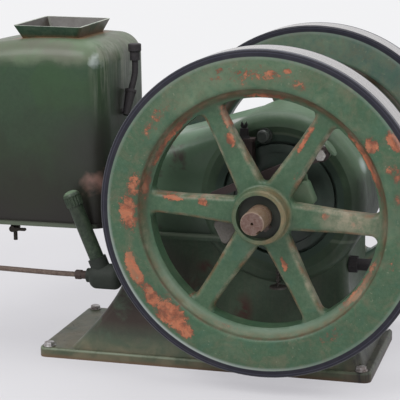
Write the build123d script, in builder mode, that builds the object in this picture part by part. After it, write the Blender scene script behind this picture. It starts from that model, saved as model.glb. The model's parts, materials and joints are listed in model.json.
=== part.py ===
from build123d import *
import os
from math import atan2, cos, degrees, radians, sin, sqrt, tan

# A small horizontal stationary engine with a cooling hopper and two spoked flywheels.
# The origin is on the underside of the base, in the middle of its bolt pattern.
# X runs along the engine with the flywheels on the +X side, Y runs across it and Z is up.
# The near side, with the governor, faces -Y.

# Crankshaft and its place over the base
crank_x = 144
crank_z = 318
shaft_radius = 20.65
shaft_reach = 302
shaft_end_radius = 20
shaft_end_length = 40
shaft_chamfer = 1.5
centre_hole_radius = 2.5
centre_hole_depth = 6
running_fit = 0.05
key_width = 9.5
key_depth = 4.6
key_angle = -52

# Flywheels
wheel_radius = 280
wheel_width = 75
wheel_centre_y = 216
rim_depth = 66
rim_shoulder = 8
window_radius = 198
web_thickness = 30
spoke_count = 6
spoke_angle = -3.5
spoke_width_at_hub = 53
spoke_width_at_waist = 37
spoke_width_at_rim = 34
spoke_waist_radius = 140
spoke_waist_rounding = 150
spoke_rounding = 9.5
hub_corner = 8
rim_corner = 12
rim_edge = 2.5
hub_radius = 46.5
hub_back_radius = 34
hub_front = 43
hub_back = 48
hub_bore_radius = 38.4
hub_bore_depth = 14
hub_cove = 6
cove_radius = 32

# Base plate, pedestal and flange
base_length = 628
base_width = 272
base_corner = 14
plate_thickness = 19
plate_rounding = 5
bolt_inset_x = 18
bolt_inset_y = 13
bolt_hole_radius = 5.5
pedestal_left = -150
pedestal_right = 266
pedestal_half_width = 100
pedestal_corner = 16
flare_left = 103
flare_right = 34
flare_side = 28
flare_height = 150
flare_steps = 6
flange_z = 249
flange_thickness = 9
flange_lip = 12

# Crankcase drum and side covers
drum_radius = 155
drum_half_width = 115
drum_rounding = 24
cone_radius = 104
cone_depth = 12
pocket_depth = 27
cover_radius = 98
cover_thickness = 13
cover_dish_radius = 84
cover_dish_depth = 4
bearing_foot_radius = 58
bearing_radius = 36
bearing_foot_thickness = 10
bearing_neck_step = 6
bearing_neck_rise = 4
bearing_gap = 10
casing_bore_radius = 24

# Cylinder block between the crankcase and the hopper
block_half_width = 113
block_slope = 16
block_drop = 2
block_rounding = 42

# Hopper
hopper_right = -174
hopper_left = -496
hopper_half_width = 124.5
hopper_bottom = 251
hopper_crown_z = 594
hopper_right_eave = 587
hopper_left_eave = 566
hopper_top_rounding = 43
hopper_edge_rounding = 38
hopper_wall = 8
hopper_foot_lip = 6
hopper_foot_thickness = 8
barrel_radius = 60
barrel_z = 330

# Hopper mouth
mouth_x = -296
mouth_half_x = 67
mouth_half_y = 82
mouth_flare = 10.5
mouth_top = 616.3
mouth_tilt_back = 1.4
mouth_tilt_right = 1.3
mouth_wall = 5
mouth_corner = 9
mouth_skirt = 575

# Cylinder head and what it carries
head_thickness = 40
head_half_width = 78
head_half_height = 66
head_rounding = 10
mixer_x = -576
mixer_y = -52
mixer_radius = 21
mixer_top = 306
mixer_bottom = 208
mixer_port_radius = 17
exhaust_y = 44
exhaust_z = 300
exhaust_radius = 21
exhaust_reach = 46
plug_z = 372
plug_hex_radius = 12
plug_length = 52

# Push rod and rocker on the far side
rod_y = 142
rod_radius = 5
rod_right = -8
rocker_x = -562
rocker_pivot_y = 92
rocker_tip_y = 26
rocker_half_height = 9
rocker_thickness = 12
rocker_inset = 24
rocker_post_width = 22
valve_radius = 4
guide_x = -40
guide_width = 24
guide_half_height = 14

# Fuel filler, tee and fuel line
fuel_y = -155
filler_top_x = -222
filler_top_z = 300
tee_x = -170
tee_z = 171
filler_radius = 13.35
filler_cap_radius = 15
filler_cap_height = 29
filler_cap_rounding = 4
tee_radius = 23.5
tee_left = 26
tee_right = 33
tee_rounding = 13
tee_neck_radius = 17
tee_neck = 0.26
tee_collar_radius = 13
tee_collar_reach = 32
nipple_radius = 11
nipple_x = -112
fuel_line_radius = 4.75
fuel_line_rise = 7
fuel_line_start = 36
fuel_line_bend = 19
fuel_nut_neck = 11.5
fuel_nut_neck_radius = 7.5
fuel_nut_length = 11.5
fuel_nut_radius = 9

# Cylinder oiler on the hopper's right wall
oiler_reach = 18
oiler_y = 4
oiler_top = 577
oiler_cap_height = 31
oiler_cap_radius = 12.2
oiler_cap_lid_height = 15
oiler_cap_foot_radius = 9.5
oiler_cap_rounding = 2.5
oiler_tube_radius = 5.9
oiler_bend_z = 521
oiler_bend_radius = 70
oiler_collar_y = -9
oiler_collar_z = 487
oiler_collar_radius = 11
oiler_collar_height = 5
oiler_collar_gap = 1
oiler_body_radius = 10
oiler_foot_y = -27
oiler_foot_z = 447
oiler_foot_radius = 6.3
oiler_foot_gap = 2

# Drain cock under the hopper
drain_x = -370
drain_y = -92
drain_radius = 5
drain_bulb_radius = 8.7
drain_bulb_height = 15
drain_spout_radius = 3.8
drain_spout_z = 213
drain_plug_z = 237
drain_plug_radius = 6
drain_plug_reach = 11
drain_handle_reach = 25
drain_handle_width = 5.5
drain_handle_thickness = 4

# Cup, plug and stud on the near side of the crankcase
cup_x = 88
cup_reach = 16
cup_radius = 10.5
cup_shoulder_radius = 8.5
cup_top_radius = 7.3
cup_neck_radius = 4
cup_skirt_height = 4
cup_body_height = 17
cup_wing_height = 29
cup_wing_spread = 6.2
cup_wing_notch = 22
cup_wing_thickness = 3.5
shelf_z = 425
shelf_thickness = 5
shelf_gap = 1
bracket_x = 94
bracket_width = 14
bracket_bottom = 372
side_plug_angle = 101.7
side_plug_orbit = 116.7
side_plug_radius = 11.5
side_plug_reach = 16
side_plug_rounding = 4
plug_ring_radius = 14
plug_ring_reach = 4

# Governor lever on its stud
lever_x = 227
lever_z = 408
lever_tip_x = 33
lever_tip_z = 328
lever_reach = 25
lever_thickness = 12
lever_boss_radius = 13
lever_root_width = 21
lever_tip_width = 11
stud_radius = 6
stud_nut_radius = 10
stud_nut_height = 8

# Speed spring below the shaft
spring_x = 149
spring_reach = 23
spring_top = 232
spring_bottom = 168
spring_radius = 5
spring_wire = 1.1
spring_turns = 9
spring_rod_radius = 2.2
spring_disc_radius = 15
spring_disc_thickness = 3

# Governor weights behind the spokes of the near wheel
upper_weight_orbit = 67
upper_weight_angle = 24.6
upper_weight_tilt = 82
lower_weight_orbit = 84
lower_weight_angle = 208.3
lower_weight_tilt = 266
weight_width = 55
weight_corner = 8
weight_rounding = 3
weight_gap = 5
weight_thickness = 26
weight_pin_orbit = 92
weight_pin_radius = 4.5
weight_boss_radius = 9.5
weight_arm_thickness = 10
pin_pad_height = 3

# Oil filler on the right end of the crankcase
oil_filler_y = -80
oil_filler_z = 201
oil_filler_x = 330
oil_filler_radius = 13.5
oil_filler_height = 26
oil_pipe_radius = 10.5
oil_pipe_collar = 2.5
oil_nut_radius = 15.5
oil_nut_length = 15

seat_gap = 0.3

# Derived places
web_half = web_thickness / 2
wheel_half = wheel_width / 2
bore_radius = shaft_radius + running_fit
key_end = shaft_reach - shaft_end_length
hub_outer = wheel_centre_y + hub_front
hub_inner = wheel_centre_y - hub_back
cover_face = drum_half_width - pocket_depth + cover_thickness
bearing_back = cover_face - cover_dish_depth
bearing_end = hub_inner - bearing_gap
bolt_spacing_x = base_length - 2 * bolt_inset_x
bolt_spacing_y = base_width - 2 * bolt_inset_y
head_left = hopper_left - head_thickness
cup_y = -(drum_half_width + cup_reach)
lever_y = -(drum_half_width + lever_reach)
spring_y = -(drum_half_width + spring_reach)
lever_length = sqrt((lever_x - lever_tip_x) ** 2 + (lever_z - lever_tip_z) ** 2)
lever_angle = degrees(atan2(lever_tip_z - lever_z, lever_tip_x - lever_x))
weight_front_y = -(wheel_centre_y - web_half - weight_gap)
weight_back_y = weight_front_y + weight_thickness
weight_pin_angle = spoke_angle + 360 / spoke_count
pin_seat_y = -wheel_centre_y + web_half + pin_pad_height
crank_plane = Plane(origin=(crank_x, 0, crank_z))
crank_axis = Axis((crank_x, 0, crank_z), (0, 1, 0))

os.makedirs("parts", exist_ok=True)


def side_plane(side, y, x=crank_x, z=crank_z):
    """A plane across the engine, facing outward on one side, with its local x along +X."""
    return Plane(origin=(x, side * y, z), x_dir=(1, 0, 0), z_dir=(0, side, 0))


def upright_plane(y):
    """A plane seen from the near side, with local x along +X and local y along +Z."""
    return Plane(origin=(0, y, 0), x_dir=(1, 0, 0), z_dir=(0, -1, 0))


def crank_face(y):
    """A plane centred on the crank axis and seen from the near side, with local y along +Z."""
    return Plane(origin=(crank_x, y, crank_z), x_dir=(1, 0, 0), z_dir=(0, -1, 0))


def orbit_point(radius, angle):
    """A point on a circle about the crank axis, in the crank-centred planes."""
    return Vector(radius * cos(radians(angle)), radius * sin(radians(angle)))


def save(builder, name):
    builder.part.label = name
    export_step(builder.part, f"parts/{name}.step")


def rod_between(start, end, radius):
    """A plain round bar from one point to another, added to the open part."""
    path = Edge.make_line(start, end)
    with Locations(Plane(origin=start, z_dir=path % 0)):
        Cylinder(radius, path.length, align=(Align.CENTER, Align.CENTER, Align.MIN))


# Crankcase casting: plate, flared pedestal, flange and the round drum
def flare_share(height):
    """How much of the flare is left at a height above the plate."""
    return max(0, 1 - height / flare_height) ** 1.5


with BuildPart() as crankcase:
    with BuildSketch(Plane.XY):
        RectangleRounded(base_length, base_width, base_corner)
    extrude(amount=plate_thickness)
    fillet(crankcase.faces().sort_by(Axis.Z)[-1].edges(), plate_rounding)
    for step in range(flare_steps + 1):
        height = flare_height * step / flare_steps
        share = flare_share(height)
        left = pedestal_left - flare_left * share
        right = pedestal_right + flare_right * share
        with BuildSketch(Plane.XY.offset(plate_thickness + height)):
            with Locations(((left + right) / 2, 0)):
                RectangleRounded(
                    right - left, 2 * (pedestal_half_width + flare_side * share), pedestal_corner
                )
    loft()
    pedestal_top = plate_thickness + flare_height
    with BuildSketch(Plane.XY.offset(pedestal_top)):
        with Locations(((pedestal_left + pedestal_right) / 2, 0)):
            RectangleRounded(pedestal_right - pedestal_left, 2 * pedestal_half_width, pedestal_corner)
    extrude(amount=flange_z - pedestal_top)
    with BuildSketch(Plane.XY.offset(flange_z - flange_thickness)):
        with Locations(((pedestal_left + crank_x) / 2, 0)):
            RectangleRounded(
                crank_x - pedestal_left + 2 * flange_lip, 2 * (block_half_width + flange_lip), pedestal_corner
            )
    extrude(amount=flange_thickness)
    with BuildSketch(crank_plane):
        drum_band = drum_half_width - drum_rounding
        pocket_floor = drum_half_width - pocket_depth
        cone_foot = drum_half_width - cone_depth
        face_radius = drum_radius - drum_rounding
        with BuildLine():
            Polyline(
                (0, -pocket_floor), (cone_radius, -pocket_floor), (cone_radius, -cone_foot),
                (face_radius, -drum_half_width),
            )
            RadiusArc((face_radius, -drum_half_width), (drum_radius, -drum_band), -drum_rounding)
            Line((drum_radius, -drum_band), (drum_radius, drum_band))
            RadiusArc((drum_radius, drum_band), (face_radius, drum_half_width), -drum_rounding)
            Polyline(
                (face_radius, drum_half_width), (cone_radius, cone_foot), (cone_radius, pocket_floor),
                (0, pocket_floor), (0, -pocket_floor),
            )
        make_face()
    revolve(axis=crank_axis)
    for side in (-1, 1):
        with BuildSketch(side_plane(side, pocket_floor)):
            Circle(cone_radius)
        extrude(amount=pocket_depth + flange_lip, mode=Mode.SUBTRACT)
    with BuildSketch(side_plane(1, 0)):
        Circle(casing_bore_radius)
    extrude(amount=drum_half_width, both=True, mode=Mode.SUBTRACT)
    with GridLocations(bolt_spacing_x, bolt_spacing_y, 2, 2):
        Hole(bolt_hole_radius, depth=2 * plate_thickness)
save(crankcase, "crankcase")

# Cylinder block: the rounded shoulder that slopes from the drum down to the hopper
with BuildPart() as cylinder_block:
    block_foot = orbit_point(drum_radius - block_drop, 90 + block_slope)
    foot_x = crank_x + block_foot.X
    foot_z = crank_z + block_foot.Y
    with BuildSketch(upright_plane(0)):
        with BuildLine():
            Polyline(
                (hopper_right, flange_z),
                (foot_x, flange_z),
                (foot_x, foot_z),
                (hopper_right, foot_z - (foot_x - hopper_right) * tan(radians(block_slope))),
                close=True,
            )
        make_face()
    extrude(amount=block_half_width, both=True)
    fillet(
        cylinder_block.faces().sort_by(Axis.Z)[-1].edges().filter_by(
            lambda edge: abs(edge.center().Y) > block_half_width / 2
        ),
        block_rounding,
    )
    with BuildSketch(side_plane(1, 0)):
        Circle(face_radius)
    extrude(amount=drum_half_width, both=True, mode=Mode.SUBTRACT)
    add(crankcase.part, mode=Mode.SUBTRACT)
save(cylinder_block, "cylinder_block")


# Hopper: a rounded tank with the cylinder barrel cast through it
def hopper_form(inset):
    """The hopper's outline, drawn in by a wall, as one solid."""
    left = hopper_left + inset
    right = hopper_right - inset
    with BuildPart() as form:
        with BuildSketch(upright_plane(0)):
            with BuildLine():
                roof = ThreePointArc(
                    (right, hopper_right_eave - inset), (mouth_x, hopper_crown_z - inset),
                    (left, hopper_left_eave - inset),
                )
                Polyline(roof @ 1, (left, hopper_bottom + inset), (right, hopper_bottom + inset), roof @ 0)
            make_face()
            fillet(vertices().sort_by(Axis.Y)[-2:], hopper_top_rounding - inset)
        extrude(amount=hopper_half_width - inset, both=True)
        ends = form.faces().sort_by(Axis.Y)
        rounded = (ends[0].edges() + ends[-1].edges()).filter_by(
            lambda edge: edge.center().Z > hopper_bottom + 2 * hopper_wall
        )
        fillet(rounded, hopper_edge_rounding - inset)
    return form.part


with BuildPart() as hopper:
    add(hopper_form(0))
    add(hopper_form(hopper_wall), mode=Mode.SUBTRACT)
    with BuildSketch(Plane.YZ.offset(hopper_left + hopper_wall / 2)):
        with Locations((0, barrel_z)):
            Circle(barrel_radius)
    extrude(amount=hopper_right - hopper_left - hopper_wall)
    with BuildSketch(Plane.XY.offset(hopper_bottom)):
        with Locations(((hopper_left + hopper_right) / 2, 0)):
            RectangleRounded(
                hopper_right - hopper_left, 2 * (hopper_half_width + hopper_foot_lip), hopper_edge_rounding
            )
    extrude(amount=hopper_foot_thickness)
    with BuildSketch(Plane.XY.offset(mouth_skirt)):
        with Locations((mouth_x, 0)):
            RectangleRounded(
                2 * (mouth_half_x - mouth_flare - mouth_wall),
                2 * (mouth_half_y - mouth_flare - mouth_wall),
                mouth_corner - mouth_wall,
            )
    extrude(amount=mouth_top - mouth_skirt, mode=Mode.SUBTRACT)
save(hopper, "hopper")

# Hopper mouth: a square flared spout standing on the roof, with its rim a little out of level
with BuildPart() as hopper_mouth:
    skirt_level = Plane(origin=(mouth_x, 0, mouth_skirt))
    rim_level = Plane(origin=(mouth_x, 0, mouth_top)).rotated((mouth_tilt_back, mouth_tilt_right, 0))
    skirt_flare = mouth_flare * (mouth_top - mouth_skirt) / (mouth_top - hopper_crown_z)
    for inset, mode in ((0, Mode.ADD), (mouth_wall, Mode.SUBTRACT)):
        for level, spread in ((skirt_level, skirt_flare), (rim_level, 0)):
            with BuildSketch(level):
                RectangleRounded(
                    2 * (mouth_half_x - spread - inset), 2 * (mouth_half_y - spread - inset),
                    mouth_corner - inset,
                )
        loft(mode=mode)
    add(hopper_form(0), mode=Mode.SUBTRACT)
save(hopper_mouth, "hopper_mouth")

# Cylinder head on the hopper's left wall
with BuildPart() as cylinder_head:
    with BuildSketch(Plane.YZ.offset(head_left)):
        with Locations((0, barrel_z)):
            RectangleRounded(2 * head_half_width, 2 * head_half_height, 2 * head_rounding)
    extrude(amount=head_thickness)
    fillet(cylinder_head.faces().sort_by(Axis.X)[0].edges(), head_rounding)
save(cylinder_head, "cylinder_head")

# Mixer: an upright body with a port into the head
with BuildPart() as mixer:
    with BuildSketch(Plane.XY.offset(mixer_bottom)):
        with Locations((mixer_x, mixer_y)):
            Circle(mixer_radius)
    extrude(amount=mixer_top - mixer_bottom)
    fillet(mixer.edges().filter_by(GeomType.CIRCLE), plate_rounding)
    port_z = mixer_top - mixer_radius
    rod_between((mixer_x, mixer_y, port_z), (head_left, mixer_y, port_z), mixer_port_radius)
save(mixer, "mixer")

# Exhaust outlet in the head
with BuildPart() as exhaust_outlet:
    rod_between(
        (head_left, exhaust_y, exhaust_z), (head_left - exhaust_reach, exhaust_y, exhaust_z),
        exhaust_radius,
    )
    with BuildSketch(Plane.YZ.offset(head_left - exhaust_reach)):
        with Locations((exhaust_y, exhaust_z)):
            Circle(exhaust_radius - mouth_wall)
    extrude(amount=exhaust_reach, mode=Mode.SUBTRACT)
save(exhaust_outlet, "exhaust_outlet")

# Spark plug
with BuildPart() as spark_plug:
    with BuildSketch(Plane.YZ.offset(head_left - plug_length / 4)):
        with Locations((0, plug_z)):
            RegularPolygon(plug_hex_radius, 6)
    extrude(amount=plug_length / 4)
    rod_between(
        (head_left - plug_length / 4, 0, plug_z), (head_left - plug_length, 0, plug_z),
        plug_hex_radius / 2,
    )
save(spark_plug, "spark_plug")

# Rocker bracket: a post on the head that carries the arm
with BuildPart() as rocker_bracket:
    with BuildSketch(Plane.YZ.offset(head_left)):
        with Locations((rocker_pivot_y - rocker_inset, barrel_z)):
            RectangleRounded(rocker_post_width, 4 * rocker_half_height, rocker_half_height)
    extrude(amount=rocker_x + rocker_thickness / 2 - head_left)
save(rocker_bracket, "rocker_bracket")

# Rocker arm: a bar from the push rod to the valve stem
with BuildPart() as rocker_arm:
    with BuildSketch(Plane.YZ.offset(rocker_x - rocker_thickness / 2)):
        with Locations(((rod_y + rocker_tip_y) / 2, barrel_z)):
            SlotOverall(rod_y - rocker_tip_y + 2 * rocker_half_height, 2 * rocker_half_height)
    extrude(amount=rocker_thickness)
save(rocker_arm, "rocker_arm")

# Valve stem with its guide between the head and the rocker arm
with BuildPart() as valve_stem:
    stem_start = (head_left, rocker_tip_y, barrel_z)
    rod_between(stem_start, (rocker_x + rocker_thickness / 2, rocker_tip_y, barrel_z), valve_radius)
    rod_between(stem_start, ((head_left + rocker_x) / 2, rocker_tip_y, barrel_z), 2 * valve_radius)
save(valve_stem, "valve_stem")

# Push rod along the far side, and the guide that carries it
with BuildPart() as push_rod:
    rod_between((rocker_x + rocker_thickness / 2, rod_y, barrel_z), (rod_right, rod_y, barrel_z), rod_radius)
save(push_rod, "push_rod")

with BuildPart() as push_rod_guide:
    guide_depth = rod_y + guide_half_height - block_half_width
    with Locations((guide_x, block_half_width + guide_depth / 2, barrel_z)):
        Box(guide_width, guide_depth, 2 * guide_half_height)
    with Locations(Plane.YZ.offset(guide_x)):
        with Locations((rod_y, barrel_z)):
            Cylinder(rod_radius + running_fit, 2 * guide_width, mode=Mode.SUBTRACT)
save(push_rod_guide, "push_rod_guide")

for side in (-1, 1):
    label = "near" if side < 0 else "far"

    # Side cover: a dished plate in the drum's pocket
    with BuildPart() as side_cover:
        with BuildSketch(side_plane(side, pocket_floor)):
            Circle(cover_radius)
        extrude(amount=cover_thickness)
        with BuildSketch(side_plane(side, cover_face)):
            Circle(cover_dish_radius)
        extrude(amount=-cover_dish_depth, mode=Mode.SUBTRACT)
        with BuildSketch(side_plane(side, 0)):
            Circle(casing_bore_radius)
        extrude(amount=drum_half_width, mode=Mode.SUBTRACT)
    save(side_cover, f"side_cover_{label}")

    # Main bearing: a round foot on the cover and a tapered nose round the shaft
    with BuildPart() as bearing:
        bearing_neck = bearing_back + bearing_foot_thickness + bearing_neck_rise
        with BuildSketch(crank_plane):
            with BuildLine():
                Polyline(
                    (bore_radius, side * bearing_back),
                    (bearing_foot_radius, side * bearing_back),
                    (bearing_foot_radius, side * (bearing_back + bearing_foot_thickness)),
                    (bearing_radius + bearing_neck_step, side * bearing_neck),
                    (bearing_radius, side * bearing_end),
                    (bore_radius, side * bearing_end),
                    (bore_radius, side * bearing_back),
                )
            make_face()
        revolve(axis=crank_axis)
    save(bearing, f"bearing_{label}")

# Crankshaft with turned-down ends, keyways and centre holes
with BuildPart() as crankshaft:
    with BuildSketch(crank_face(0)):
        Circle(shaft_end_radius)
    extrude(amount=shaft_reach, both=True)
    chamfer(crankshaft.edges().filter_by(GeomType.CIRCLE), shaft_chamfer)
    with BuildSketch(crank_face(0)):
        Circle(shaft_radius)
    extrude(amount=key_end, both=True)
    for side in (-1, 1):
        with Locations(side_plane(side, shaft_reach)):
            Hole(centre_hole_radius, depth=centre_hole_depth)
        with BuildSketch(crank_face(side * hub_inner)):
            with PolarLocations(shaft_radius, 1, start_angle=key_angle):
                Rectangle(2 * key_depth, key_width)
        extrude(amount=-side * shaft_reach, mode=Mode.SUBTRACT)
save(crankshaft, "crankshaft")


def between_orbits(low, high):
    """A test for corners whose distance from the crank axis lies between two radii."""
    return lambda corner: low < corner.center().length < high


# Flywheel form on the near side: a coved rim, a web with six windows and a counterbored hub
with BuildPart() as wheel_form:
    with BuildSketch(crank_face(-wheel_centre_y)):
        Circle(window_radius + web_half)
    extrude(amount=web_half, both=True)
    with BuildSketch(crank_face(-wheel_centre_y)) as windows:
        Circle(window_radius)
        with PolarLocations(0, spoke_count, start_angle=spoke_angle):
            Polygon(
                (0, -spoke_width_at_hub / 2),
                (spoke_waist_radius, -spoke_width_at_waist / 2),
                (wheel_radius, -spoke_width_at_rim / 2),
                (wheel_radius, spoke_width_at_rim / 2),
                (spoke_waist_radius, spoke_width_at_waist / 2),
                (0, spoke_width_at_hub / 2),
                align=None,
                mode=Mode.SUBTRACT,
            )
        hub_zone = (hub_radius + spoke_waist_radius) / 2
        rim_zone = (spoke_waist_radius + window_radius) / 2
        fillet(windows.vertices().filter_by(between_orbits(rim_zone, wheel_radius)), rim_corner)
        fillet(windows.vertices().filter_by(between_orbits(hub_zone, rim_zone)), spoke_waist_rounding)
        fillet(windows.vertices().filter_by(between_orbits(0, hub_zone)), hub_corner)
    extrude(amount=web_thickness, both=True, mode=Mode.SUBTRACT)
    window_edges = ShapeList()
    for face in wheel_form.faces().filter_by(Axis.Y):
        for wire in face.inner_wires():
            window_edges += wire.edges()
    fillet(window_edges, spoke_rounding)
    with BuildSketch(crank_plane) as rim_section:
        face_y = -wheel_centre_y - wheel_half
        back_y = -wheel_centre_y + wheel_half
        inner = wheel_radius - rim_depth
        with BuildLine():
            RadiusArc((window_radius, -wheel_centre_y - web_half), (inner, face_y), cove_radius)
            Polyline(
                (inner, face_y),
                (wheel_radius - rim_edge, face_y),
                (wheel_radius, face_y + rim_edge),
                (wheel_radius, back_y - rim_edge),
                (wheel_radius - rim_edge, back_y),
                (inner, back_y),
            )
            RadiusArc((inner, back_y), (window_radius, -wheel_centre_y + web_half), cove_radius)
            Line((window_radius, -wheel_centre_y + web_half), (window_radius, -wheel_centre_y - web_half))
        make_face()
        shoulders = rim_section.vertices().filter_by(lambda corner: abs(corner.X - inner) < running_fit)
        fillet(shoulders, rim_shoulder)
    revolve(axis=crank_axis)
    with BuildSketch(crank_plane):
        web_front = -wheel_centre_y - web_half
        web_back = -wheel_centre_y + web_half
        with BuildLine():
            Polyline(
                (0, -hub_inner),
                (0, -hub_outer),
                (hub_radius - rim_edge, -hub_outer),
                (hub_radius, -hub_outer + rim_edge),
                (hub_radius, web_front - hub_cove),
            )
            RadiusArc((hub_radius, web_front - hub_cove), (hub_radius + hub_cove, web_front), hub_cove)
            Polyline(
                (hub_radius + hub_cove, web_front),
                (hub_radius + hub_cove, web_back),
                (hub_back_radius + hub_cove, web_back),
            )
            RadiusArc(
                (hub_back_radius + hub_cove, web_back), (hub_back_radius, web_back + hub_cove), hub_cove
            )
            Polyline((hub_back_radius, web_back + hub_cove), (hub_back_radius, -hub_inner), (0, -hub_inner))
        make_face()
    revolve(axis=crank_axis)
    with BuildSketch(crank_face(-hub_outer)):
        Circle(hub_bore_radius)
    extrude(amount=-hub_bore_depth, mode=Mode.SUBTRACT)
    with BuildSketch(crank_face(0)):
        Circle(bore_radius)
        with PolarLocations(shaft_radius, 1, start_angle=key_angle):
            Rectangle(2 * (key_depth + running_fit), key_width + 2 * running_fit)
    extrude(amount=shaft_reach, mode=Mode.SUBTRACT)

with BuildPart() as flywheel_near:
    add(wheel_form.part)
    with BuildSketch(crank_face(-wheel_centre_y)):
        with PolarLocations(weight_pin_orbit, 2, start_angle=weight_pin_angle):
            Circle(weight_boss_radius)
    extrude(amount=-web_half - pin_pad_height)
save(flywheel_near, "flywheel_near")

with BuildPart() as flywheel_far:
    mirror(wheel_form.part, about=Plane.XZ)
save(flywheel_far, "flywheel_far")

for side in (-1, 1):
    label = "near" if side < 0 else "far"

    # Key between the shaft and the hub
    with BuildPart() as shaft_key:
        with BuildSketch(crank_face(side * hub_inner)):
            with PolarLocations(shaft_radius, 1, start_angle=key_angle):
                Rectangle(2 * key_depth, key_width)
        extrude(amount=-side * (key_end - hub_inner))
    save(shaft_key, f"shaft_key_{label}")

# Governor weights: rounded triangles, each on an arm that turns on a pin behind a spoke
for label, orbit, angle, tilt, pin_angle in (
    ("upper", upper_weight_orbit, upper_weight_angle, upper_weight_tilt, weight_pin_angle),
    ("lower", lower_weight_orbit, lower_weight_angle, lower_weight_tilt, weight_pin_angle + 180),
):
    weight_centre = orbit_point(orbit, angle)
    pin_centre = orbit_point(weight_pin_orbit, pin_angle)
    arm = pin_centre - weight_centre

    with BuildPart() as governor_pin:
        with BuildSketch(crank_face(pin_seat_y)):
            with Locations(pin_centre):
                Circle(weight_pin_radius)
        extrude(amount=pin_seat_y - weight_back_y)
    save(governor_pin, f"governor_pin_{label}")

    with BuildPart() as governor_weight:
        with BuildSketch(crank_face(weight_front_y)) as outline:
            with Locations(weight_centre):
                RegularPolygon(weight_width / sqrt(3), 3, rotation=tilt)
            fillet(outline.vertices(), weight_corner)
        extrude(amount=-weight_thickness)
        fillet(governor_weight.faces().sort_by(Axis.Y)[0].edges(), weight_rounding)
        with BuildSketch(crank_face(weight_back_y)):
            with Locations(Location((weight_centre + pin_centre) / 2, degrees(atan2(arm.Y, arm.X)))):
                SlotCenterToCenter(arm.length, 2 * weight_boss_radius)
        extrude(amount=weight_arm_thickness)
        with BuildSketch(crank_face(0)):
            with Locations(pin_centre):
                Circle(weight_pin_radius + running_fit)
        extrude(amount=shaft_reach, mode=Mode.SUBTRACT)
    save(governor_weight, f"governor_weight_{label}")

# Governor lever: a tapered arm on a stud at the drum's edge
with BuildPart() as lever_stud:
    with BuildSketch(upright_plane(-cover_face)):
        with Locations((lever_x, lever_z)):
            Circle(stud_radius)
    extrude(amount=-lever_y + lever_thickness / 2 + seat_gap - cover_face)
    with BuildSketch(upright_plane(-cover_face)):
        with Locations((lever_x, lever_z)):
            Circle(lever_boss_radius)
    extrude(amount=-lever_y - lever_thickness / 2 - seat_gap - cover_face)
    with BuildSketch(upright_plane(lever_y - lever_thickness / 2 - seat_gap)):
        with Locations((lever_x, lever_z)):
            RegularPolygon(stud_nut_radius, 6)
    extrude(amount=stud_nut_height)
    add(crankcase.part, mode=Mode.SUBTRACT)
save(lever_stud, "lever_stud")

with BuildPart() as governor_lever:
    with BuildSketch(upright_plane(lever_y + lever_thickness / 2)):
        with Locations(Location((lever_x, lever_z), lever_angle)):
            Polygon(
                (0, -lever_root_width / 2),
                (lever_length, -lever_tip_width / 2),
                (lever_length, lever_tip_width / 2),
                (0, lever_root_width / 2),
                align=None,
            )
            Circle(lever_boss_radius)
            with Locations((lever_length, 0)):
                Circle(lever_tip_width / 2)
            Circle(stud_radius + running_fit, mode=Mode.SUBTRACT)
    extrude(amount=lever_thickness)
save(governor_lever, "governor_lever")

# Speed spring: a rod under a bracket, with the spring round it and a disc below
with BuildPart() as spring_bracket:
    with BuildSketch(upright_plane(-cover_face)):
        with Locations((spring_x, spring_top)):
            RectangleRounded(3 * spring_radius, 2 * spring_radius, spring_radius / 2)
    extrude(amount=-spring_y + spring_radius - cover_face)
    add(crankcase.part, mode=Mode.SUBTRACT)
save(spring_bracket, "spring_bracket")

with BuildPart() as spring_rod:
    rod_between(
        (spring_x, spring_y, spring_top - spring_radius), (spring_x, spring_y, spring_bottom - spring_radius),
        spring_rod_radius,
    )
    rod_between(
        (spring_x, spring_y, spring_bottom), (spring_x, spring_y, spring_bottom - spring_disc_thickness),
        spring_disc_radius,
    )
save(spring_rod, "spring_rod")

with BuildPart() as speed_spring:
    spring_length = spring_top - spring_radius - spring_bottom - 2 * spring_wire
    with BuildLine(Plane(origin=(spring_x, spring_y, spring_bottom + spring_wire))):
        coil = Helix(spring_length / spring_turns, spring_length, spring_radius - spring_wire)
    with BuildSketch(Plane(origin=coil @ 0, z_dir=coil % 0)):
        Circle(spring_wire)
    sweep()
save(speed_spring, "speed_spring")

# Plug: a domed end in a ring on the drum
with BuildPart() as side_plug:
    with BuildSketch(crank_face(-cover_face)):
        with PolarLocations(side_plug_orbit, 1, start_angle=side_plug_angle):
            Circle(side_plug_radius)
    extrude(amount=drum_half_width + side_plug_reach - cover_face)
    fillet(side_plug.edges().group_by(Axis.Y)[0], side_plug_rounding)
    with BuildSketch(crank_face(-cover_face)):
        with PolarLocations(side_plug_orbit, 1, start_angle=side_plug_angle):
            Circle(plug_ring_radius)
    extrude(amount=drum_half_width + plug_ring_reach - cover_face)
    add(crankcase.part, mode=Mode.SUBTRACT)
save(side_plug, "side_plug")

# Bracket with a shelf beside the plug
with BuildPart() as cup_bracket:
    bracket_front = -cup_y - cup_radius / 2
    shelf_left = cup_x - cup_radius
    shelf_right = crank_x + orbit_point(side_plug_orbit, side_plug_angle).X - side_plug_radius - shelf_gap
    shelf_front = cup_y - cup_radius
    shelf_back = -(drum_half_width + plug_ring_reach + shelf_gap)
    with BuildSketch(Plane.XY.offset(bracket_bottom)):
        with Locations((bracket_x, -(cover_face + bracket_front) / 2)):
            Rectangle(bracket_width, bracket_front - cover_face)
    extrude(amount=shelf_z - bracket_bottom)
    with BuildSketch(Plane.XY.offset(shelf_z)):
        with Locations(((shelf_left + shelf_right) / 2, (shelf_front + shelf_back) / 2)):
            RectangleRounded(shelf_right - shelf_left, shelf_back - shelf_front, shelf_thickness)
    extrude(amount=shelf_thickness)
    add(crankcase.part, mode=Mode.SUBTRACT)
save(cup_bracket, "cup_bracket")

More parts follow.
